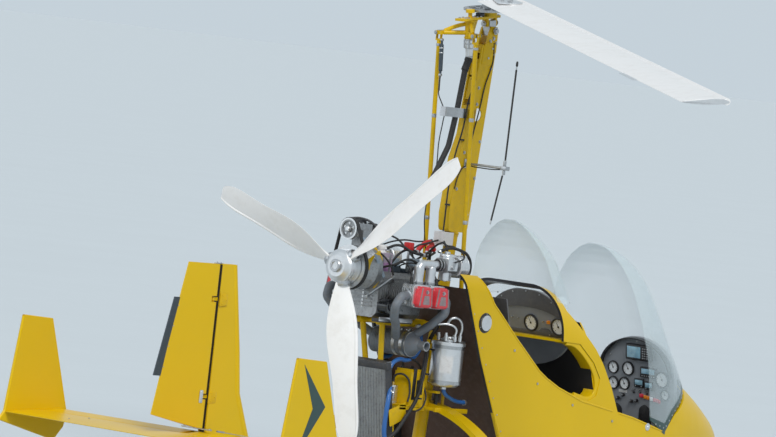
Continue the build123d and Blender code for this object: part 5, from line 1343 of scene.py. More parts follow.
# radius and points of each cable in the engine bay
bundleCables = (
    (0.0095, ((-0.190, -0.060, 1.180), (-0.206, -0.090, 1.080), (-0.296, -0.112, 0.970),
              (-0.340, -0.140, 0.900), (-0.385, -0.168, 0.800), (-0.410, -0.170, 0.700),
              (-0.464, -0.168, 0.620), (-0.550, -0.150, 0.506), (-0.640, -0.080, 0.430),
              (-0.740, -0.036, 0.400), (-0.860, -0.034, 0.392))),
    (0.0060, ((-0.190, -0.050, 1.180), (-0.222, -0.098, 1.070), (-0.310, -0.126, 0.960),
              (-0.352, -0.158, 0.880), (-0.392, -0.180, 0.790), (-0.420, -0.178, 0.700),
              (-0.480, -0.168, 0.600))),
    (0.0045, ((-0.340, -0.100, 0.800), (-0.330, -0.150, 0.740), (-0.340, -0.168, 0.690),
              (-0.380, -0.160, 0.640), (-0.400, -0.120, 0.640))),
    (0.0050, ((-0.430, -0.076, 0.846), (-0.440, -0.090, 0.878), (-0.400, -0.110, 0.880),
              (-0.350, -0.120, 0.850), (-0.320, -0.114, 0.790))),
    (0.0050, ((-0.480, -0.070, 0.764), (-0.478, -0.080, 0.800), (-0.460, -0.130, 0.800),
              (-0.455, -0.160, 0.730), (-0.470, -0.165, 0.680))),
)


bay = {
    "pumpX": -0.480, "pumpY": -0.070, "pumpBands": (0.672, 0.700, 0.728), "tankBands": (0.790, 0.960),
    "cableTies": (0.94, 0.82, 0.70),
}


def makeBay():
    dark = bmesh.new()
    addBox(dark, (-0.432, -0.1545, 0.690), (-0.408, -0.1515, 0.842), 0.001)
    addBox(dark, (-0.432, -0.1545, 0.8365), (-0.408, -0.048, 0.8395), 0.001)
    addBox(dark, (-0.400, -0.1530, 0.716), (-0.352, -0.1518, 0.786), 0.0004)
    for x in (-0.430, -0.356):
        addDisc(dark, (x, -0.076, 0.836), (0, 0, 1), 0.009, 0.012, 16, 0.001)
    showPiece("batteryStraps", dark, "blackPlastic")
    copper = bmesh.new()
    for z in (0.790, 0.770):
        addDisc(copper, (-0.312, -0.1145, z), (0, -1, 0), 0.006, 0.012, 12, 0.001)
    addBox(copper, (-0.362, -0.118, 0.742), (-0.340, -0.104, 0.756), 0.002)
    addDisc(copper, (bay["pumpX"], bay["pumpY"], 0.750), (0, 0, 1), 0.008, 0.016, 6, 0.001)
    showPiece("copperLugs", copper, "brass")
    pump = bmesh.new()
    for z in bay["pumpBands"]:
        addRidge(pump, (bay["pumpX"], bay["pumpY"], z), (0, 0, 1), 0.0255, 0.0282, 0.003, 0.002, 32)
    addBox(pump, (-0.336, -0.1130, 0.752), (-0.288, -0.1115, 0.812), 0.0005)
    addBox(pump, (-0.512, -0.104, 0.676), (-0.486, -0.092, 0.744), 0.003)
    showPiece("pumpBands", pump, "silver")
    yellow = bmesh.new()
    addPlate(yellow, ((-0.592, 0.634), (-0.470, 0.677), (-0.456, 0.600), (-0.569, 0.553)), -0.1560, -0.1530,
             "XZ", 0.001, 0.006)
    addPlate(yellow, ((-0.516, 0.652), (-0.326, 0.652), (-0.326, 0.640), (-0.516, 0.640)), -0.1560, -0.1520,
             "XZ", 0.001)
    addPlate(yellow, ((-0.300, 0.662), (-0.236, 0.662), (-0.286, 0.735)), -0.1245, -0.1205, "XZ", 0.001,
             0.003)
    addBox(yellow, (-0.300, -0.206, 0.640), (-0.050, -0.190, 0.662), 0.003)
    addBox(yellow, (-0.300, -0.190, 0.644), (-0.284, -0.020, 0.660), 0.003)
    addBox(yellow, (-0.300, -0.200, 0.730), (-0.270, -0.116, 0.742), 0.002)
    addTubes(yellow, ((0.0090, ((-0.309, -0.120, 0.985), (-0.278, -0.120, 0.655))),
                      (0.0080, ((-0.186, -0.150, 0.745), (-0.182, -0.150, 0.655)))), 16)
    showPiece("bayBrackets", yellow, "frameYellow")
    bands = bmesh.new()
    for z in bay["tankBands"]:
        addBand(bands, (tank["x"], tank["y"], z), (0, 0, 1), 0.0788, 0.0804, -0.008, 0.008)
    showPiece("tankBands", bands, "steel")
    bundle = bmesh.new()
    addTubes(bundle, bundleCables, 12)
    showPiece("cableBundle", bundle, "rubber")
    black = bmesh.new()
    addDisc(black, (-0.236, -0.150, 0.690), (0, 0, 1), 0.016, 0.040, 24, 0.003)
    addDisc(black, (-0.236, -0.150, 0.662), (0, 0, 1), 0.010, 0.030, 16, 0.001)
    for z in bay["cableTies"]:
        lean = (z - 0.82) * 0.3
        addBox(black, (-0.372 + lean, -0.186, z - 0.004), (-0.352 + lean, -0.146, z + 0.004), 0.001)
    showPiece("bayPlastics", black, "blackPlastic")


case = {
    "boltsX": (-0.68, -0.62, -0.56, -0.50, -0.44, -0.39), "gearCircle": 0.095, "filterX": -0.664,
    "filterZ": 1.131, "braceEnds": ((-0.790, 1.172), (-0.612, 1.268)),
}


def makeCase():
    steel = bmesh.new()
    dark = bmesh.new()
    for near, far in ((-0.116, -0.070), (0.070, 0.116)):
        addBox(dark, (-0.700, near, 1.050), (-0.450, far, 1.068), 0.002)
    showPiece("engineTray", dark, "castDark")
    edge = bmesh.new()
    for side in (-1, 1):
        low, high = sorted((side * 0.116, side * 0.119))
        addBox(edge, (-0.702, low, 1.056), (-0.448, high, 1.076), 0.001)
    # split flange along the case and its through bolts
    addPlate(edge, ((-0.703, 1.100), (-0.366, 1.100), (-0.366, 1.2950), (-0.703, 1.2950)), -0.005, 0.005,
             "XZ", 0.001, 0.02)
    showPiece("caseFlanges", edge, "silver")
    for x in case["boltsX"]:
        for side in (-1, 1):
            addBolt(steel, (x, side * 0.012, 1.291), (0, 0, 1), 0.0055)
            addBolt(steel, (x, side * 0.092, 1.246), (0, side, 0), 0.0055)
            addBolt(steel, (x, side * 0.092, 1.112), (0, side, 0), 0.0055)
    circle = case["gearCircle"]
    for index in range(10):
        angle = 2 * math.pi * index / 10
        addBolt(steel, (-0.7350, circle * math.sin(angle), propeller["z"] + circle * math.cos(angle)),
                (-1, 0, 0), 0.0055)
    # brace rod and flat bracket beside the gearbox
    ends = case["braceEnds"]
    addTubes(steel, [(radius, [(x, y, z) for x, z in ends]) for radius,
                     y in ((0.0060, -0.098), (0.0050, 0.098))], 12)
    for x, z in ends:
        for side in (-1, 1):
            addDisc(steel, (x, side * 0.090, z), (0, side, 0), 0.011, 0.016, 20, 0.001)
    showPiece("engineBolts", steel, "steel")
    bracket = bmesh.new()
    addPlate(bracket, ((-0.770, 1.372), (-0.754, 1.376), (-0.668, 1.272), (-0.682, 1.262)), -0.099, -0.094,
             "XZ", 0.001, 0.004)
    addPlate(bracket, ((-0.787, 1.360), (-0.728, 1.360), (-0.728, 1.446), (-0.787, 1.446)), -0.0285, -0.0262,
             "XZ", 0.0008, 0.004)
    showPiece("gearBracket", bracket, "paleBlue")
    plate = bmesh.new()
    addPlate(plate, ((-0.062, 1.205), (0.062, 1.205), (0.092, 1.250), (0.092, 1.360), (0.030, 1.415),
                     (-0.030, 1.415), (-0.092, 1.360), (-0.092, 1.250)), -0.7020, -0.6960, "YZ", 0.001, 0.012)
    for side in (-1, 1):
        low, high = sorted((side * 0.072, side * 0.078))
        addPlate(plate, ((-0.792, 1.340), (-0.700, 1.395), (-0.700, 1.270), (-0.745, 1.240)), low, high, "XZ",
                 0.001, 0.008)
    showPiece("gearPlate", plate, "frameYellow")
    # ribbed oil filter body and its end
    ribs = bmesh.new()
    for y in (-0.104, -0.148):
        addRidge(ribs, (case["filterX"], y, case["filterZ"]), (0, 1, 0), 0.0352, 0.0372, 0.0018, 0.0012, 40)
    addDisc(ribs, (case["filterX"], -0.154, case["filterZ"]), (0, -1, 0), 0.022, 0.006, 12, 0.0015)
    showPiece("filterRibs", ribs, "blackGloss")
    vents = bmesh.new()
    for index in range(9):
        z = 1.118 + index * 0.017
        addBox(vents, (-0.7040, -0.060, z), (-0.6995, 0.060, z + 0.007), 0.0015)
    for side in (-1, 1):
        for index in range(7):
            x = -0.682 + index * 0.016
            low, high = sorted((side * 0.0915, side * 0.0955))
            addBox(vents, (x, low, 1.150), (x + 0.005, high, 1.232), 0.0015)
    showPiece("caseRibs", vents, "castGrey")


makeHeads()
makeIgnition()
makeIntake()
makeCooling()
makeRadiator()
makeExhaust()
makeTank()
makeBay()
makeCase()
print("engine")


# Pod: sill trim, filler cap, screws, the front windshield's foot band and the window's rim

pod = {
    "sill": ((-0.205, 1.313), (-0.103, 1.194), (0.106, 1.029), (0.305, 0.884), (0.374, 0.848),
             (0.472, 0.808)),
    "noseSill": ((0.985, 0.699), (1.109, 0.679), (1.250, 0.648), (1.401, 0.615), (1.480, 0.697),
                 (1.620, 0.781), (1.755, 0.862)),
    "rearEdge": ((-0.350, 1.300), (-0.312, 1.249), (-0.158, 0.916), (0.046, 0.546), (0.085, 0.400)),
    "rimTube": 0.0055, "capPlace": (-0.154, 1.096), "capRadius": 0.038,
    # foot of the front windshield, and its dark band
    "glassFoot": ((1.180, 0.664), (1.255, 0.648), (1.401, 0.615), (1.480, 0.697), (1.755, 0.862),
                  (1.90, 0.92)),
    "bandWidth": 0.034, "bandProud": 0.0022,
    "screws": ((0.938, 0.654), (0.60, 0.723), (0.30, 0.818), (0.09, 0.973)), "fastener": (1.243, 0.634),
    # where the rear windshield's foot is looked for from
    "rearEye": (0.46, 0, 1.10),
    "windowRim": (
        (0.500, 1.021), (0.556, 1.017), (0.604, 0.999), (0.652, 0.970), (0.698, 0.936), (0.738, 0.898),
        (0.766, 0.858), (0.777, 0.820), (0.770, 0.788), (0.746, 0.768), (0.712, 0.763), (0.660, 0.770),
        (0.610, 0.780),
    ),
    "windowEdge": (
        (0.500, 1.0345), (0.606, 1.0285), (0.738, 0.9395), (0.8035, 0.861), (0.787, 0.772), (0.7255, 0.7445),
        (0.610, 0.7690),
    ),
}


def treeOf(name):
    bm = bmesh.new()
    bm.from_mesh(nodes[name].data)
    bm.transform(nodes[name].matrix_world)
    tree = BVHTree.FromBMesh(bm)
    bm.free()
    return tree


podTree = treeOf("fuselage_pod")


def onSkin(tree, x, z, side, out=0.0):
    # The skin's outer face at a place in the side view
    hit = tree.ray_cast(Vector((x, side * 0.6, z)), Vector((0, -side, 0)))
    if hit[0] is None:
        return None
    return hit[0] + hit[1] * out


def skinRun(tree, points, side, out, drop=0.004, steps=6):
    run = []
    for (nearX, nearZ), (farX, farZ) in zip(points, points[1:]):
        for step in range(steps):
            share = step / steps
            x, z = nearX + (farX - nearX) * share, nearZ + (farZ - nearZ) * share - drop
            place = onSkin(tree, x, z, side, out)
            if place is not None:
                run.append(place)
    return run


def addSkinDiscs(bm, tree, places, sink, radius, length, sides, edge):
    # Screw heads on both sides of a skin, sunk in a little
    for x, z in places:
        for side in (-1, 1):
            spot = onSkin(tree, x, z, side)
            if spot is not None:
                addDisc(bm, spot - Vector((0, side * sink, 0)), (0, side, 0), radius, length, sides, edge)


def makeSillTrim():
    bm = bmesh.new()
    rows = []
    for side in (-1, 1):
        for points in (pod["sill"] + ((0.671, 0.749), (0.985, 0.699)), pod["noseSill"][:4]):
            rows.append((pod["rimTube"], skinRun(podTree, points, side, -0.002)))
    addTubes(bm, [row for row in rows if len(row[1]) > 2], 10)
    showPiece("sillTrim", bm, "podYellow")


def makeRearEdge():
    bm = bmesh.new()
    points = [(x + 0.007, z) for x, z in pod["rearEdge"]]
    addTubes(bm, [(0.005, skinRun(podTree, points, side, -0.001, 0.0, 4)) for side in (-1, 1)], 10)
    showPiece("rearEdgeTrim", bm, "podYellow")


def makeFillerRing():
    x, z = pod["capPlace"]
    radius = pod["capRadius"]
    place = (x, onSkin(podTree, x - 0.055, z, -1).y, z)
    bm = bmesh.new()
    ring = ((radius, -0.004), (radius + 0.012, -0.004), (radius + 0.012, 0.0015), (radius + 0.009, 0.003),
            (radius + 0.001, 0.003), (radius, 0.001))
    addLathe(bm, ring, place, (0, -1, 0), 40, closed=True)
    showPiece("fillerRing", bm, "blackPlastic")
    bm = bmesh.new()
    cap = ((0.033, 0.0), (0.035, 0.002), (0.034, 0.005), (0.030, 0.006), (0.028, 0.0045), (0.006, 0.0045))
    addLathe(bm, closedProfile(cap), place, (0, -1, 0), 40)
    for turn in range(3):
        angle = math.radians(90 + turn * 120)
        spot = (x + math.cos(angle) * 0.044, place[1] - 0.002, z + math.sin(angle) * 0.044)
        addDisc(bm, spot, (0, -1, 0), 0.003, 0.003, 10, 0.0006)
    showPiece("fillerLid", bm, "steel")


def makeSkinScrews():
    bm = bmesh.new()
    addSkinDiscs(bm, podTree, pod["screws"], 0.001, 0.0065, 0.0045, 16, 0.001)
    # row that holds the rear bulkhead
    row = [(-0.288 + 0.345 * step / 8, 1.215 - 0.640 * step / 8) for step in range(9)]
    addSkinDiscs(bm, podTree, row, 0.001, 0.004, 0.003, 12, 0.0006)
    showPiece("skinScrews", bm, "steel")
    bm = bmesh.new()
    cone = ((0.019, 0.0), (0.019, 0.003), (0.015, 0.0055), (0.008, 0.0055), (0.006, 0.0075), (0.002, 0.0078))
    for side in (-1, 1):
        addLathe(bm, closedProfile(cone), onSkin(podTree, *pod["fastener"], side), (0, side, 0), 28)
    showPiece("windshieldFasteners", bm, "silver")


def bandOf(name, outline, finish, piece, proud):
    # A strip of a windshield's own skin, a little proud of it
    keep = bmesh.new()
    addPlate(keep, outline, -0.5, 0.5)
    mesh = bpy.data.meshes.new("keep")
    keep.to_mesh(mesh)
    keep.free()
    cutter = bpy.data.objects.new("keep", mesh)
    skin = bmesh.new()
    skin.from_mesh(nodes[name].data)
    bmesh.ops.remove_doubles(skin, verts=skin.verts, dist=0.00002)
    shell = bpy.data.meshes.new("shell")
    skin.to_mesh(shell)
    skin.free()
    holder = bpy.data.objects.new("shell", shell)
    for item in (cutter, holder):
        bpy.context.scene.collection.objects.link(item)
    cut = holder.modifiers.new("cut", "BOOLEAN")
    cut.operation = "INTERSECT"
    cut.solver = "EXACT"
    cut.object = cutter
    bpy.context.view_layer.update()
    done = bpy.data.meshes.new_from_object(holder.evaluated_get(bpy.context.evaluated_depsgraph_get()))
    bm = bmesh.new()
    bm.from_mesh(done)
    bmesh.ops.remove_doubles(bm, verts=bm.verts, dist=0.00005)
    bm.normal_update()
    for vert in bm.verts:
        vert.co += vert.normal * proud
    for item in (cutter, holder):
        bpy.data.objects.remove(item)
    for item in (mesh, shell, done):
        bpy.data.meshes.remove(item)
    showPiece(piece, bm, finish)


def offsetLine(points, width):
    # The same line moved up by a width, square to its runs
    moved = []
    for index, (x, z) in enumerate(points):
        before = Vector(points[max(index - 1, 0)])
        after = Vector(points[min(index + 1, len(points) - 1)])
        run = (after - before).normalized()
        moved.append((x - run.y * width, z + run.x * width))
    return moved


def makeBands():
    foot = pod["glassFoot"]
    low = [(x, z - 0.06) for x, z in foot]
    high = offsetLine(foot, pod["bandWidth"])
    # the ends of the foot's first run have places of their own
    high[0] = (1.195, 0.694)
    high[2] = (1.396, 0.652)
    bandOf("front_windshield", low + high[::-1], "stripeGreen", "frontGlassBand", pod["bandProud"])
    places = []
    for start, count, back in ((1, 4, 0.0), (2, 3, 0.006), (3, 8, 0.006)):
        (nearX, nearZ), (farX, farZ) = foot[start:start + 2]
        for step in range(count):
            share = (step + 0.5) / count
            places.append((nearX + (farX - nearX) * share - back, nearZ + (farZ - nearZ) * share + 0.014))
    bm = bmesh.new()
    addSkinDiscs(bm, treeOf("front_windshield"), places, 0.0005, 0.0042, 0.0042, 12, 0.0008)
    # screws along the rear windshield's foot, on the fairing's arch
    rear = treeOf("rear_windshield")
    eye = Vector(pod["rearEye"])
    for step in range(11):
        angle = math.radians(-62 + step * 12.4)
        hit = rear.ray_cast(eye, Vector((math.cos(angle) * 0.55, math.sin(angle), 0.32)).normalized())
        if hit[0] is not None:
            way = (hit[0] - eye).normalized()
            far = rear.ray_cast(hit[0] - hit[1] * 0.0005 + way * 0.002, way)
            spot = far[0] if far[0] is not None else hit[0]
            addDisc(bm, spot, (spot - Vector((eye.x, 0, spot.z))).normalized(), 0.0042, 0.003, 12, 0.0006)
    showPiece("bandScrews", bm, "steel")


def makeWindowRim():
    # Deep rolled rim that rounds off the opening between the cockpits
    bm = bmesh.new()
    for side in (-1, 1):
        low, high = sorted((side * 0.262, side * 0.3362))
        addPlate(bm, pod["windowEdge"] + pod["windowRim"][::-1], low, high, "XZ", 0.0015)
        addTubes(bm, [(0.0065, [(x, side * 0.3300, z) for x, z in pod["windowRim"]])], 10)
    showPiece("windowRim", bm, "podYellow", crease=40)


makeSillTrim()
makeRearEdge()
makeFillerRing()
makeSkinScrews()
makeBands()
makeWindowRim()
print("pod trimmed")


# Cockpit: panels with their instruments, sticks and throttle

panels = {
    "front": {"foot": (1.597, 0.620), "head": (1.509, 1.058), "half": 0.226, "straight": 0.260},
    "rear": {"foot": (0.618, 1.038), "head": (0.560, 1.262), "half": 0.262, "straight": 0.040},
    "hoodDepth": 0.030, "hoodWall": 0.006,
    # right, up, radius of each white gauge
    "frontGauges": ((-0.055, 0.279, 0.034), (-0.079, 0.199, 0.031), (-0.150, 0.275, 0.031),
                    (-0.150, 0.195, 0.031), (0.162, 0.246, 0.040), (0.182, 0.170, 0.026)),
    "rearGauges": ((0.022, 0.060, 0.040), (0.196, 0.058, 0.043)),
    "switches": ((-0.019, 0.176), (0.023, 0.177), (0.066, 0.178)),
    "knobs": ((-0.086, 0.139), (-0.033, 0.113), (0.000, 0.120), (-0.120, 0.120), (-0.165, 0.120)),
    "screws": ((-0.205, 0.03), (-0.205, 0.22), (-0.17, 0.34), (0.205, 0.03), (0.17, 0.34), (0.0, 0.425)),
    "rearScrews": ((0.099, 0.075), (-0.06, 0.075), (-0.10, 0.075), (0.139, 0.010), (-0.19, 0.012),
                   (0.235, 0.012)),
    "legCovers": (
        ((0.008, 0.0), (0.092, 0.0), (0.084, 0.085), (0.050, 0.108), (0.016, 0.085)),
        ((-0.092, 0.0), (-0.170, 0.0), (-0.165, 0.075), (-0.130, 0.095), (-0.098, 0.075)),
    ),
    # piece, finish, left end and right end of each group of warning lights
    "lamps": (
        ("lampsRed", "lampRed", 0.019, 0.044), ("lampsOrange", "lampOrange", 0.046, 0.082),
        ("lampsWhite", "dialWhite", 0.086, 0.104), ("lampsPink", "lampRed", 0.108, 0.154),
    ),
    "lampWidth": 0.018, "lampStart": 0.019, "lampSlope": -0.02 / 0.14,
    # low and high corners of the cases behind the front panel
    "cases": (((-0.040, 0.340), (0.090, 0.400)), ((0.030, 0.250), (0.122, 0.296)),
              ((-0.010, 0.192), (0.100, 0.232))),
}


def panelMatrix(row):
    foot = Vector((row["foot"][0], 0, row["foot"][1]))
    up = (Vector((row["head"][0], 0, row["head"][1])) - foot).normalized()
    aft = Vector((-up.z, 0, up.x))
    right = up.cross(aft)
    turn = Matrix((right, up, aft)).transposed().to_4x4()
    return Matrix.Translation(foot) @ turn


frontPanel = panelMatrix(panels["front"])
rearPanel = panelMatrix(panels["rear"])


def addGauge(rings, faces, marks, right, up, radius, matrix):
    bezel = ((radius * 0.86, 0.002), (radius * 0.90, 0.009), (radius * 0.98, 0.010), (radius * 1.06, 0.008),
             (radius * 1.10, 0.0), (radius * 0.86, 0.0))
    addLathe(rings, bezel, (right, up, 0), (0, 0, 1), 32, matrix, True)
    addDisc(faces, (right, up, 0.0), (0, 0, 1), radius * 0.88, 0.0035, 32, 0.0, matrix)
    centre = matrix @ Matrix.Translation((right, up, 0))
    half = radius * 0.022
    for step in range(11):
        turn = centre @ Matrix.Rotation(math.radians(225 - step * 27), 4, "Z")
        long = 0.20 if step % 5 == 0 else 0.12
        addBox(marks, (radius * (0.80 - long), -half, 0.0034), (radius * 0.80, half, 0.0042), matrix=turn)
    back, tip = -radius * 0.18, radius * 0.66
    addPlate(marks, ((back, -0.0016), (tip, -0.0005), (tip, 0.0005), (back, 0.0016)), 0.0046, 0.0058, "XY",
             matrix=centre @ Matrix.Rotation(math.radians(118), 4, "Z"))
    addDisc(marks, (right, up, 0.0042), (0, 0, 1), radius * 0.11, 0.003, 16, 0.0005, matrix)


def makeGauges():
    rings = bmesh.new()
    faces = bmesh.new()
    marks = bmesh.new()
    for gauges, matrix in (("frontGauges", frontPanel), ("rearGauges", rearPanel)):
        for right, up, radius in panels[gauges]:
            addGauge(rings, faces, marks, right, up, radius, matrix)
    showPiece("gaugeRings", rings, "blackPlastic")
    showPiece("gaugeFaces", faces, "dialWhite")
    showPiece("gaugeMarks", marks, "blackGloss")


def archRise(row):
    return (Vector(row["head"]) - Vector(row["foot"])).length - row["straight"]


def archLine(half, base, rise, steps):
    # Points of a half ellipse from right to left, in 24 steps
    return [(half * math.cos(math.pi * step / 24),
             base + rise * math.sin(math.pi * step / 24)) for step in steps]


def makeHoods():
    bm = bmesh.new()
    row = panels["front"]
    wall = panels["hoodWall"]
    outer = archLine(row["half"], row["straight"], archRise(row), range(25))
    inner = archLine(row["half"] - wall, row["straight"], archRise(row) - wall, range(24, -1, -1))
    addPlate(bm, outer + inner, 0.0, panels["hoodDepth"], "XY", matrix=frontPanel)
    showPiece("panelHoods", bm, "blackPlastic", crease=30)


def makeFrontPanel():
    dark = bmesh.new()
    screens = bmesh.new()
    keys = bmesh.new()
    pale = bmesh.new()
    # map unit with its screen and keypad
    addBox(dark, (-0.052, 0.333, 0.0), (0.104, 0.413, 0.030), 0.005, frontPanel)
    addBox(screens, (-0.040, 0.346, 0.029), (0.044, 0.403, 0.0312), 0.0006, frontPanel)
    for row in range(5):
        for column in range(3):
            right, up = 0.056 + column * 0.014, 0.346 + row * 0.012
            addBox(keys, (right, up, 0.029), (right + 0.009, up + 0.006, 0.032), 0.001, frontPanel)
    # radio, with its display, and two small displays under it
    addBox(dark, (0.026, 0.246, 0.0), (0.128, 0.300, 0.010), 0.002, frontPanel)
    addBox(screens, (0.036, 0.266, 0.009), (0.118, 0.292, 0.0112), 0.0005, frontPanel)
    for step in range(6):
        addDisc(keys, (0.040 + step * 0.015, 0.254, 0.009), (0, 0, 1), 0.0034, 0.003, 10, 0.0006, frontPanel)
    for left, low, right, high in ((-0.014, 0.190, 0.046, 0.236), (0.052, 0.182, 0.106, 0.228)):
        addBox(dark, (left, low, 0.0), (right, high, 0.008), 0.002, frontPanel)
        addBox(screens, (left + 0.006, low + 0.014, 0.0072), (right - 0.006, high - 0.008, 0.0092), 0.0004,
               frontPanel)
        for across in (left + 0.012, right - 0.012):
            addDisc(keys, (across, low + 0.007, 0.007), (0, 0, 1), 0.0035, 0.004, 10, 0.0006, frontPanel)
    # toggle switches under their bar, knobs and the leg cut-outs' covers
    for right, up in panels["switches"]:
        addDisc(keys, (right, up, 0), (0, 0, 1), 0.0062, 0.004, 6, 0.0, frontPanel)
        addTubes(keys, [(0.0024, ((right, up, 0.003), (right, up - 0.006, 0.020)))], 8, frontPanel)
        addDisc(dark, (right, up - 0.016, 0), (0, 0, 1), 0.0055, 0.006, 12, 0.001, frontPanel)
    for right, up in panels["knobs"]:
        addDisc(dark, (right, up, 0), (0, 0, 1), 0.009, 0.014, 16, 0.0015, frontPanel)
        addDisc(keys, (right, up, 0.0135), (0, 0, 1), 0.0055, 0.003, 16, 0.0005, frontPanel)
    addBox(pale, (-0.118, 0.150, 0.0), (-0.064, 0.166, 0.0012), 0.0003, frontPanel)
    for outline in panels["legCovers"]:
        addPlate(dark, outline, 0.0, 0.004, "XY", 0.001, 0.012, frontPanel)
    for right, up in panels["screws"]:
        addDisc(keys, (right, up, 0), (0, 0, 1), 0.005, 0.0022, 12, 0.0006, frontPanel)
    showPiece("panelUnits", dark, "blackPlastic")
    showPiece("panelScreens", screens, "screenBlue")
    showPiece("panelKeys", keys, "steel")
    showPiece("panelPlates", pale, "boxWhite")
    # warning lights in their bar
    for name, finish, start, end in panels["lamps"]:
        bm = bmesh.new()
        count = max(1, round((end - start) / panels["lampWidth"]))
        pitch = (end - start) / count
        for step in range(count):
            left = start + step * pitch
            low = 0.140 + (left - panels["lampStart"]) * panels["lampSlope"]
            addBox(bm, (left, low, 0.0), (left + pitch - 0.002, low + 0.018, 0.008), 0.0015, frontPanel)
        showPiece(name, bm, finish)


def makeRearPanel():
    # Dark cowl over a pale arch, and a dark foot between the gauges
    bm = bmesh.new()
    row = panels["rear"]
    rise = archRise(row)
    outer = archLine(row["half"] * 0.985, row["straight"], rise * 0.985, range(2, 23))
    inner = archLine(0.240, 0.052, 0.086, range(23, 0, -1))
    addPlate(bm, outer + inner, 0.0, 0.005, "XY", matrix=rearPanel)
    foot = ((-0.22, 0.0), (0.245, 0.0), (0.245, 0.022), (0.150, 0.022), (0.128, 0.040), (0.088, 0.040),
            (0.066, 0.022), (-0.22, 0.022))
    addPlate(bm, foot, 0.0, 0.004, "XY", 0.001, 0.0, rearPanel)
    showPiece("rearCowl", bm, "seatGrey", crease=30)
    bm = bmesh.new()
    for right, up in panels["rearScrews"]:
        addDisc(bm, (right, up, 0), (0, 0, 1), 0.004, 0.0065, 12, 0.001, rearPanel)
    for step in range(7):
        angle = math.radians(30 + step * 20)
        place = (0.246 * math.cos(angle), 0.040 + rise * 0.93 * math.sin(angle), 0.004)
        addDisc(bm, place, (0, 0, 1), 0.0042, 0.0028, 12, 0.0006, rearPanel)
    showPiece("rearPanelScrews", bm, "steel")
    bm = bmesh.new()
    addBox(bm, (0.124, 0.066, 0.0), (0.143, 0.083, 0.009), 0.002, rearPanel)
    showPiece("rearPanelLamp", bm, "lampOrange")


controls = {
    # X and Z of each stick, and the floor under it
    "sticks": ((1.330, 0.480, 0.378), (0.610, 0.520, 0.345)), "stickLean": (-0.30, 0, 0.95),
    "boot": ((0.034, 0.0), (0.036, 0.006), (0.028, 0.012), (0.031, 0.020), (0.023, 0.027), (0.026, 0.035),
             (0.018, 0.043), (0.020, 0.050), (0.0135, 0.060)),
    "quadrants": (1.10, 0.36), "leverY": 0.284,
}


def makeControls():
    # Grip tops and buttons, boots on the stick feet, throttle on the port side
    dark = bmesh.new()
    red = bmesh.new()
    lean = controls["stickLean"]
    for x, z, floorZ in controls["sticks"]:
        addLathe(dark, closedProfile(controls["boot"]), (x, 0, floorZ), (0, 0, 1), 28)
        top = Vector((x - 0.092, 0, z + 0.428))
        addDisc(dark, top, lean, 0.020, 0.008, 24, 0.003)
        addDisc(red, top + Vector((-0.006, -0.006, 0.006)), lean, 0.006, 0.007, 14, 0.0015)
        for step in range(4):
            spot = (x - 0.064 - step * 0.0075, 0, z + 0.340 + step * 0.0235)
            addRidge(dark, spot, (-0.305, 0, 0.95), 0.0188, 0.0208, 0.004, 0.002, 24)
    y = controls["leverY"]
    for x in controls["quadrants"]:
        addBox(dark, (x - 0.05, y - 0.016, 0.560), (x + 0.10, y + 0.016, 0.600), 0.006)
        addTubes(dark, ((0.0055, ((x + 0.02, y, 0.590), (x + 0.035, y, 0.660))),
                        (0.0055, ((x + 0.06, y, 0.590), (x + 0.07, y, 0.640)))), 10)
        addDisc(dark, (x + 0.034, y, 0.655), (0.2, 0, 1), 0.014, 0.034, 20, 0.005)
        addDisc(red, (x + 0.069, y, 0.636), (0.2, 0, 1), 0.011, 0.026, 20, 0.004)
    showPiece("controlTrim", dark, "rubber")
    showPiece("controlKnobs", red, "redPlastic")


def makePanelBacks():
    # Instrument cans and the units' cases on the forward side
    bm = bmesh.new()
    for right, up, radius in panels["frontGauges"]:
        addDisc(bm, (right, up, -0.076), (0, 0, 1), radius * 0.90, 0.053, 24, 0.004, frontPanel)
        addDisc(bm, (right, up, -0.090), (0, 0, 1), 0.006, 0.016, 10, 0.001, frontPanel)
    for low, high in panels["cases"]:
        addBox(bm, (*low, -0.062), (*high, -0.023), 0.004, frontPanel)
    showPiece("instrumentCans", bm, "blackPlastic")


makePanelBacks()
makeGauges()
makeHoods()
makeFrontPanel()
makeRearPanel()
makeControls()
print("cockpit fitted")


# Seats: pads blown up as cloth, seams after, then the harnesses

seats = {
    "halfWidth": 0.205, "thick": 0.060, "voxel": 0.0072, "quickVoxel": 0.012, "pressure": 4.0, "cap": 0.022,
    "frames": 20, "start": 0.010, "waist": 0.035, "proud": 0.010, "seam": 0.009, "seamWidth": 0.009,
    "channelX": 0.150, "sideLimit": 0.219,
    "liner": ((-0.300, -0.006), (0.300, -0.006), (0.300, 0.560), (0.262, 0.652), (-0.262, 0.652),
              (-0.300, 0.560)),
}

# foot and head in the side view, the axis across, and the number of channels
padPlaces = {
    "frontBackPad": ((0.9029, 0.530), (0.6825, 1.070), (0, 1, 0), 4),
    "frontPanPad": ((0.9369, 0.466), (1.2400, 0.500), (0, -1, 0), 3),
    "rearBackPad": ((0.2140, 0.590), (0.0200, 1.180), (0, 1, 0), 4),
    "rearPanPad": ((0.2480, 0.526), (0.5200, 0.560), (0, -1, 0), 3),
}


def padFrame(name):
    # The pad's own frame, Y from its foot to its head, and its length
    foot, head, across = padPlaces[name][:3]
    run = Vector((head[0] - foot[0], 0, head[1] - foot[1])).normalized()
    across = Vector(across)
    turn = Matrix((across, run, across.cross(run))).transposed().to_4x4()
    return Matrix.Translation((foot[0], 0, foot[1])) @ turn, (Vector(head) - Vector(foot)).length


def makeSeatLiner():
    # Trim over the plate that the front seat leans on
    bm = bmesh.new()
    addPlate(bm, seats["liner"], -0.0028, 0.0006, "XY", 0.0, 0.012, padFrame("frontBackPad")[0])
    showPiece("frontSeatLiner", bm, "seatGrey")


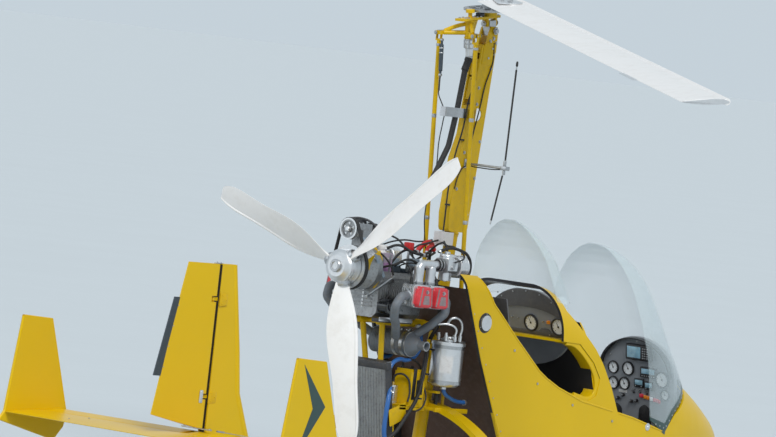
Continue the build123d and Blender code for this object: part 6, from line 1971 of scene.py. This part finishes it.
def settledMesh(piece):
    return bpy.data.meshes.new_from_object(piece.evaluated_get(bpy.context.evaluated_depsgraph_get()))


def swapMesh(piece, mesh):
    piece.modifiers.clear()
    old = piece.data
    piece.data = mesh
    bpy.data.meshes.remove(old)


def startPad(name):
    # Rounded block in the pad's own frame, a little small, remeshed for the cloth
    length = padFrame(name)[1]
    half = seats["halfWidth"]
    inset = seats["start"]
    bm = bmesh.new()
    addBox(bm, (-half + inset, 0.006, 0.002), (half - inset, length - 0.006, seats["thick"] - inset), 0.020)
    for row in range(1, 4):
        parts = bm.verts[:] + bm.edges[:] + bm.faces[:]
        bmesh.ops.bisect_plane(bm, geom=parts, plane_co=(0, length * row / 4, 0), plane_no=(0, 1, 0))
    # the sides pull in between the corners
    for vert in bm.verts:
        share = min(max(vert.co.y / length, 0.0), 1.0)
        vert.co.x *= 1.0 - seats["waist"] * math.sin(math.pi * share)
    mesh = bpy.data.meshes.new(name)
    bm.to_mesh(mesh)
    bm.free()
    pad = bpy.data.objects.new(name, mesh)
    bpy.context.scene.collection.objects.link(pad)
    remesh = pad.modifiers.new("remesh", "REMESH")
    remesh.mode = "VOXEL"
    remesh.voxel_size = seats["voxel"]
    bpy.context.view_layer.update()
    swapMesh(pad, settledMesh(pad))
    return pad


def blowUp(pads):
    for pad in pads:
        cloth = pad.modifiers.new("cloth", "CLOTH")
        cloth.settings.quality = 5
        cloth.settings.use_pressure = True
        cloth.settings.uniform_pressure_force = seats["pressure"]
        cloth.settings.effector_weights.gravity = 0.0
        cloth.point_cache.frame_start = 1
        cloth.point_cache.frame_end = seats["frames"]
    for step in range(1, seats["frames"] + 1):
        bpy.context.scene.frame_set(step)
    blown = [settledMesh(pad) for pad in pads]
    for pad, mesh in zip(pads, blown):
        for vert, start in zip(mesh.vertices, pad.data.vertices):
            move = vert.co - start.co
            if move.length > seats["cap"]:
                vert.co = start.co + move.normalized() * seats["cap"]
        swapMesh(pad, mesh)
    bpy.context.scene.frame_set(1)


def finishPad(pad):
    # Flat where it rests, crowned and channelled on top
    matrix, length = padFrame(pad.name)
    channels = padPlaces[pad.name][3]
    bm = bmesh.new()
    bm.from_mesh(pad.data)
    bmesh.ops.smooth_vert(bm, verts=bm.verts, factor=0.5, use_axis_x=True, use_axis_y=True,
                          use_axis_z=True)
    bmesh.ops.subdivide_edges(bm, edges=bm.edges[:], cuts=1, use_grid_fill=True, smooth=0.0)
    limit = seats["sideLimit"]
    for vert in bm.verts:
        place = vert.co
        place.x = min(max(place.x, -limit), limit)
        place.y = min(max(place.y, -0.002), length + 0.004)
        if place.z > seats["thick"] * 0.5:
            aways = [place.x - side * seats["channelX"] for side in (-1, 1)]
            if abs(place.x) < seats["channelX"]:
                aways += [place.y - length * row / channels for row in range(1, channels)]
            for away in aways:
                place.z -= seats["seam"] * math.exp(-(away / seats["seamWidth"]) ** 2)
        place.z = min(max(place.z, 0.001), seats["thick"] + seats["proud"])
    bm.transform(matrix)
    bmesh.ops.recalc_face_normals(bm, faces=bm.faces)
    bm.to_mesh(pad.data)
    bm.free()
    pad.data.polygons.foreach_set("use_smooth", [True] * len(pad.data.polygons))
    pad.data.materials.clear()
    pad.data.materials.append(finishes["weaveBlack"])
    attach(pad, "airframe")
    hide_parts("seat_cushions")


def makePads():
    pads = [startPad(name) for name in padPlaces]
    blowUp(pads)
    for pad in pads:
        finishPad(pad)


harness = {
    # ends of each strap's run: metres across, share of the pad's length
    "straps": {
        "BackPad": (((-0.075, 1.02), (-0.095, 0.16)), ((0.075, 1.02), (0.095, 0.16))),
        "PanPad": (((-0.200, 0.10), (-0.03, 0.62)), ((0.200, 0.10), (0.03, 0.62))),
    },
    "half": 0.0225, "thick": 0.0018, "lift": 0.0022, "pitch": 0.02, "edge": 0.012, "drop": 2.2,
}


def addStrap(bm, tree, matrix, length, start, end):
    # Webbing laid on the pad along a straight run; past the pad's head it hangs down behind
    run = Vector((end[0] - start[0], (end[1] - start[1]) * length, 0))
    side = Vector((-run.y, run.x, 0)).normalized() * harness["half"]
    edge = harness["edge"]
    strap = bmesh.new()
    steps = max(6, round(run.length / harness["pitch"]))
    bmesh.ops.create_grid(strap, x_segments=2, y_segments=steps, size=1.0)
    for vert in strap.verts:
        share = (vert.co.y + 1) / 2
        spot = Vector((start[0], start[1] * length, 0)) + run * share + side * vert.co.x
        above = Vector((spot.x, min(max(spot.y, edge), length - edge), 0.2))
        hit = tree.ray_cast(above, Vector((0, 0, -1)))
        lift = hit[0].z if hit[0] is not None else seats["thick"] * 0.8
        vert.co = Vector((spot.x, spot.y, lift + harness["lift"] - max(spot.y - length, 0) * harness["drop"]))
    bmesh.ops.recalc_face_normals(strap, faces=strap.faces)
    bmesh.ops.solidify(strap, geom=strap.faces[:], thickness=harness["thick"])
    addPart(bm, strap, matrix)


def makeHarness():
    webbing = bmesh.new()
    metal = bmesh.new()
    for seat in ("front", "rear"):
        for kind, runs in harness["straps"].items():
            matrix, length = padFrame(seat + kind)
            bm = bmesh.new()
            bm.from_mesh(bpy.data.objects[seat + kind].data)
            bm.transform(matrix.inverted())
            tree = BVHTree.FromBMesh(bm)
            bm.free()
            for start, end in runs:
                addStrap(webbing, tree, matrix, length, start, end)
        # buckle and strap adjusters over the seat pan
        matrix, length = padFrame(seat + "PanPad")
        addBox(metal, (-0.034, length * 0.55, 0.066), (0.034, length * 0.55 + 0.055, 0.082), 0.004, matrix)
        for x in (-0.075, 0.075):
            addBox(metal, (x - 0.03, length * 0.44, 0.068), (x + 0.03, length * 0.44 + 0.012, 0.076), 0.002,
                   matrix)
    showPiece("harnessWebbing", webbing, "webbing")
    showPiece("harnessBuckles", metal, "steel")


makeSeatLiner()
makePads()
makeHarness()
print("seats padded")


# Tail: painted shadow along the hinge gap, hinge plates, end fin stripe and edges, rudder horn and cables,
# keel bands

tail = {
    "levels": (0.640, 1.100), "endFinY": 0.861, "chevronProud": 0.0008,
    "keelZ": 0.380, "keelBands": (-2.045, -1.86, -1.62, -1.45, -0.95, -0.55),
    "finOutline": ((-2.150, 0.908), (-1.949, 0.900), (-1.772, 0.447), (-1.791, 0.387), (-1.848, 0.325),
                   (-2.238, 0.408), (-2.208, 0.447), (-2.150, 0.908)),
    "finScrews": ((-1.86, 0.470), (-1.98, 0.476), (-2.10, 0.470), (-1.90, 0.424), (-2.04, 0.420)),
    "stabiliserScrews": ((-1.84, 0.464), (-2.00, 0.464), (-2.14, 0.458)),
    "chevron": (
        ((-2.107, 0.884), (-1.924, 0.693), (-2.012, 0.682)),
        ((-2.012, 0.682), (-1.924, 0.693), (-2.102, 0.448)),
    ),
}


def makeHingeLine():
    bm = bmesh.new()
    # dark strip on the fin's aft face: painted shadow of the gap between fin and rudder
    addPlate(bm, ((-1.7632, 0.470), (-1.7718, 1.262), (-1.7738, 1.262), (-1.7656, 0.470)), -0.0155, 0.0155)
    showPiece("hingeSeal", bm, "rubber")
    bm = bmesh.new()
    low = tail["levels"][0]
    for side in (-1, 1):
        addPlate(bm, ((-1.835, low - 0.030), (-1.812, low - 0.030), (-1.812, low + 0.030),
                      (-1.835, low + 0.030)),
                 side * 0.0218 - 0.0012, side * 0.0218 + 0.0012, "XZ", 0.0006, 0.004)
        for z in (low - 0.022, low + 0.022):
            addDisc(bm, (-1.8235, side * 0.0225, z), (0, side, 0), 0.0035, 0.0026, 10, 0.0005)
    showPiece("rudderHingePlates", bm, "silver", "rudder")
    bm = bmesh.new()
    for z in tail["levels"]:
        for side in (-1, 1):
            addPlate(bm, ((-1.772, z - 0.034), (-1.716, z - 0.026), (-1.716, z + 0.026), (-1.772, z + 0.034)),
                     side * 0.0232 - 0.0010, side * 0.0232 + 0.0010, "XZ", 0.0005, 0.006)
            for x, up in ((-1.756, -0.020), (-1.756, 0.020), (-1.728, 0.0)):
                addDisc(bm, (x, side * 0.0240, z + up), (0, side, 0), 0.0035, 0.0024, 10, 0.0005)
    showPiece("finHingePlates", bm, "frameYellow")
    # top hinge: bolt, nut and split pin over the caps
    bm = bmesh.new()
    addBox(bm, (-1.806, -0.010, 1.2655), (-1.762, 0.010, 1.2695), 0.001)
    addBolt(bm, (-1.768, 0, 1.2690), (0, 0, 1), 0.0042)
    showPiece("topHingePlate", bm, "steel")
    bm = bmesh.new()
    addBolt(bm, (-1.796, 0, 1.2695), (0, 0, 1), 0.0052)
    addDisc(bm, (-1.796, 0, 1.2640), (0, 0, 1), 0.0030, 0.0120, 12, 0.0005)
    showPiece("topHingeBolt", bm, "steel", "rudder")


def makeChevron():
    bm = bmesh.new()
    y = tail["endFinY"]
    for row in tail["chevron"]:
        addPlate(bm, row, -y - tail["chevronProud"], -y + 0.0004)
    showPiece("finChevron", bm, "stripeGreen")


def makeFinEdges():
    # Rounded edge mouldings round the end fins, set in a little toward the middle
    bm = bmesh.new()
    for side in (-1, 1):
        inward = Vector((-2.0, side * 0.853, 0.6))
        corners = [Vector((x, side * 0.853, z)) for x, z in tail["finOutline"]]
        corners = [corner + (inward - corner).normalized() * 0.006 for corner in corners]
        for points in zip(corners, corners[1:]):
            addTubes(bm, [(0.0079, points)], 10)
            for point in points:
                turn = Matrix.Translation(point)
                bmesh.ops.create_uvsphere(bm, u_segments=12, v_segments=8, radius=0.0078, matrix=turn)
    showPiece("endFinEdges", bm, "podYellow")
    bm = bmesh.new()
    for side in (-1, 1):
        for x, z in tail["finScrews"]:
            addDisc(bm, (x, side * 0.8605, z), (0, side, 0), 0.0050, 0.0030, 12, 0.0008)
        for x, z in tail["stabiliserScrews"]:
            addDisc(bm, (x, side * 0.50, z), (0, 0, 1), 0.0035, 0.0040, 10, 0.0006)
    showPiece("endFinScrews", bm, "steel")


def makeNoseFillet():
    # Blends the stabiliser's round nose into its flatter skin, above and below
    bm = bmesh.new()
    lead = -1.760
    outline = [(lead - back, up) for back, up in (
        (0.030, 0.0262), (0.046, 0.0276), (0.070, 0.0258), (0.100, 0.0218), (0.135, 0.0176), (0.136, 0.0150),
        (0.080, 0.0120), (0.034, 0.0180),
    )]
    for side in (-1, 1):
        for lift in (-1, 1):
            lean = Matrix.Translation((0, 0, 0.447)) @ Matrix(
                ((1, -side * 0.0355, 0, 0), (0, 1, 0, 0), (0, 0, lift, 0), (0, 0, 0, 1))
            )
            low, high = sorted((side * 0.020, side * 0.8445))
            addPlate(bm, outline, low, high, matrix=lean)
    showPiece("stabiliserFillet", bm, "podYellow", crease=20)


def makeTabTrim():
    bm = bmesh.new()
    for share in (0.08, 0.36, 0.64, 0.92):
        z = 0.740 + 0.345 * share
        for side in (-1, 1):
            addDisc(bm, (-2.098 + 0.066 * share, side * 0.0025, z), (0, side, 0), 0.0030, 0.0022, 10, 0.0004)
    showPiece("tabScrews", bm, "steel", "rudder")


def makeRudderLines():
    # Horn at the rudder's foot and its pair of cables along the keel
    bm = bmesh.new()
    addPlate(bm, ((-1.815, -0.090), (-1.790, -0.090), (-1.784, 0.090), (-1.815, 0.090)), 0.486, 0.492, "XY",
             0.001, 0.010)
    rows = []
    for side in (-1, 1):
        addBolt(bm, (-1.801, side * 0.080, 0.4925), (0, 0, 1), 0.0042)
        rows += [
            (0.0018, ((-1.730, side * 0.076, 0.484), (-1.10, side * 0.072, 0.430),
                      (-0.52, side * 0.070, 0.402))),
            (0.0045, ((-1.745, side * 0.077, 0.485), (-1.690, side * 0.075, 0.481))),
            (0.0042, ((-0.98, side * 0.0715, 0.4215), (-0.90, side * 0.0712, 0.4175))),
        ]
    showPiece("rudderHorn", bm, "steel", "rudder")
    bm = bmesh.new()
    addTubes(bm, rows, 8)
    showPiece("rudderLines", bm, "steel")


def makeKeelFittings():
    bm = bmesh.new()
    for x in tail["keelBands"]:
        addBand(bm, (x, 0, tail["keelZ"]), (1, 0, 0), 0.0300, 0.0318, -0.012, 0.012, 28)
        addBolt(bm, (x, 0.0, tail["keelZ"] - 0.0315), (0, 0, -1), 0.0050)
    cap = ((0.0296, -0.002), (0.0296, 0.006), (0.024, 0.010))
    addLathe(bm, closedProfile(cap), (-2.079, 0, tail["keelZ"]), (-1, 0, 0), 28)
    showPiece("keelBands", bm, "frameYellow")
    bm = bmesh.new()
    for side in (-1, 1):
        addBolt(bm, (-1.985, side * 0.0285, 0.130), (0, side, 0), 0.0075)
        addBolt(bm, (-1.962, side * 0.0285, 0.352), (0, side, 0), 0.0060)
    showPiece("tailForkBolts", bm, "steel")


# Wheels: ribbed tyres in place of the plain rings, rim nuts, valves, brakes and axle bolts

mainWheel = {"x": -0.215, "z": 0.190, "radius": 0.190, "half": 0.050, "rim": 0.088, "ribbed": True}
wheels = {
    "nose": {"x": 1.480, "y": 0.0, "z": 0.170, "radius": 0.170, "half": 0.045, "rim": 0.078, "ribbed": True,
             "body": "nose_wheel", "nodes": ("nose_tyre",)},
    "mainLeft": {**mainWheel, "y": 0.800, "body": "main_wheel_left", "nodes": ("main_tyre_left",)},
    "mainRight": {**mainWheel, "y": -0.800, "body": "main_wheel_right", "nodes": ("main_tyre_right",)},
    "tail": {"x": -1.985, "y": 0.0, "z": 0.130, "radius": 0.060, "half": 0.017, "rim": 0.032, "ribbed": False,
             "body": "tail_wheel", "nodes": ("tail_tyre",)},
}

# share of the tyre's depth and of its half width, from the bead up
tyreWall = ((0.05, 0.86), (0.10, 0.84), (0.22, 0.94), (0.42, 1.0), (0.62, 0.985), (0.80, 0.90), (0.92, 0.76),
            (0.97, 0.62))
brakes = {"gap": 0.010, "bore": 0.030, "radius": 0.072, "half": 0.0025}


def tyreProfile(row):
    # One side from the bead to the crown, with ribs, then mirrored
    rim, radius = row["rim"], row["radius"]
    side = [(rim - 0.0005, 0.80)] + [(rim + (radius - rim) * share, wide) for share, wide in tyreWall]
    if row["ribbed"]:
        for wide in (0.56, 0.20):
            side += [(radius - 0.0012, wide), (radius - 0.0045, wide - 0.02), (radius - 0.0045, wide - 0.10),
                     (radius - 0.0006, wide - 0.12)]
    else:
        side.append((radius, 0.30))
    near = [(out, wide * row["half"]) for out, wide in side]
    return near + [(out, -wide) for out, wide in reversed(near)]


def makeWheel(name, row):
    x, y, z = place = (row["x"], row["y"], row["z"])
    rim, half = row["rim"], row["half"]
    bm = bmesh.new()
    addLathe(bm, tyreProfile(row), place, (0, 1, 0), 84, closed=True)
    # raised rib on each wall
    rib = rim + (row["radius"] - rim) * 0.30
    wide = half * 0.955
    for side in (-1, 1):
        ring = ((rib - 0.003, side * wide), (rib, side * (wide + 0.0016)), (rib + 0.003, side * wide),
                (rib, side * (wide - 0.004)))
        addLathe(bm, ring, place, (0, 1, 0), 84, closed=True)
    piece = showPiece(name + "Tread", bm, "tyre", row["body"], 50)
    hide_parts(*row["nodes"])
    if not row["ribbed"]:
        return
    bm = bmesh.new()
    lip = ((rim - 0.002, half * 0.80), (rim + 0.0035, half * 0.84), (rim + 0.0035, half * 0.89),
           (rim - 0.003, half * 0.87))
    for side in (-1, 1):
        for step in range(6):
            angle = math.radians(step * 60 + 12)
            spot = (x + math.cos(angle) * rim * 0.52, y + side * 0.008, z + math.sin(angle) * rim * 0.52)
            addBolt(bm, spot, (0, side, 0), 0.0058)
        addLathe(bm, [(radius, side * out) for radius, out in lip], place, (0, 1, 0), 48, closed=True)
    angle = math.radians(42)
    valve = Vector((x + math.cos(angle) * (rim - 0.016), y, z + math.sin(angle) * (rim - 0.016)))
    stem = [valve + Vector(move) for move in ((0, -0.010, 0), (0, -0.030, 0), (0, -0.036, 0.002))]
    addTubes(bm, [(0.0034, stem)], 10)
    showPiece(name + "RimNuts", bm, "steel", row["body"])


def makeBrakes():
    calipers = bmesh.new()
    for side, name in ((1, "mainLeft"), (-1, "mainRight")):
        row = wheels[name]
        x, z = row["x"], row["z"]
        inner = row["y"] - side * (row["half"] + brakes["gap"])
        disc = bmesh.new()
        half = brakes["half"]
        addBand(disc, (x, inner, z), (0, 1, 0), brakes["bore"], brakes["radius"], -half, half)
        near, far = sorted((inner, row["y"] - side * 0.030))
        for step in range(6):
            angle = math.radians(step * 60)
            legX, legZ = x + math.cos(angle) * brakes["bore"], z + math.sin(angle) * brakes["bore"]
            addBox(disc, (legX - 0.005, near, legZ - 0.005), (legX + 0.005, far, legZ + 0.005), 0.001)
        showPiece(name + "BrakeDisc", disc, "steel", row["body"])
        for low, high in ((inner - 0.014, inner - 0.0032), (inner + 0.0032, inner + 0.0100)):
            addBox(calipers, (x + 0.026, low, z + 0.020), (x + 0.078, high, z + 0.066), 0.004)
        addBox(calipers, (x + 0.074, inner - 0.014, z + 0.026), (x + 0.082, inner + 0.010, z + 0.060), 0.002)
    showPiece("brakeCalipers", calipers, "castDark")
    bm = bmesh.new()
    addTubes(bm, [
        (0.0032, ((-0.150, side * 0.742, 0.240), (-0.160, side * 0.700, 0.262), (-0.172, side * 0.52, 0.480),
                  (-0.172, side * 0.26, 0.622), (-0.172, side * 0.05, 0.660)))
        for side in (-1, 1)
    ], 8)
    showPiece("brakeLines", bm, "rubber")


def makeAxleBolts():
    bm = bmesh.new()
    for side in (-1, 1):
        for x in (-0.237, -0.193):
            for z in (0.174, 0.208):
                addBolt(bm, (x, side * 0.7225, z), (0, -side, 0), 0.0058)
    showPiece("axlePlateBolts", bm, "steel")
    bm = bmesh.new()
    nose = wheels["nose"]
    for side in (-1, 1):
        addBolt(bm, (nose["x"], side * 0.0655, nose["z"]), (0, side, 0), 0.0100)
        for x, z in ((1.452, 0.330), (1.450, 0.355)):
            addBolt(bm, (x, side * 0.0630, z), (0, side, 0), 0.0048)
    showPiece("noseForkBolts", bm, "steel", "nose_leg")
    bm = bmesh.new()
    addBand(bm, (1.440, 0, 0.398), (0, 0, 1), 0.0262, 0.0300, -0.006, 0.006, 28)
    showPiece("kingpinCollar", bm, "steel")


makeHingeLine()
makeChevron()
makeFinEdges()
makeNoseFillet()
makeTabTrim()
makeRudderLines()
makeKeelFittings()
for name, row in wheels.items():
    makeWheel(name, row)
makeBrakes()
makeAxleBolts()
print("tail and wheels fitted")
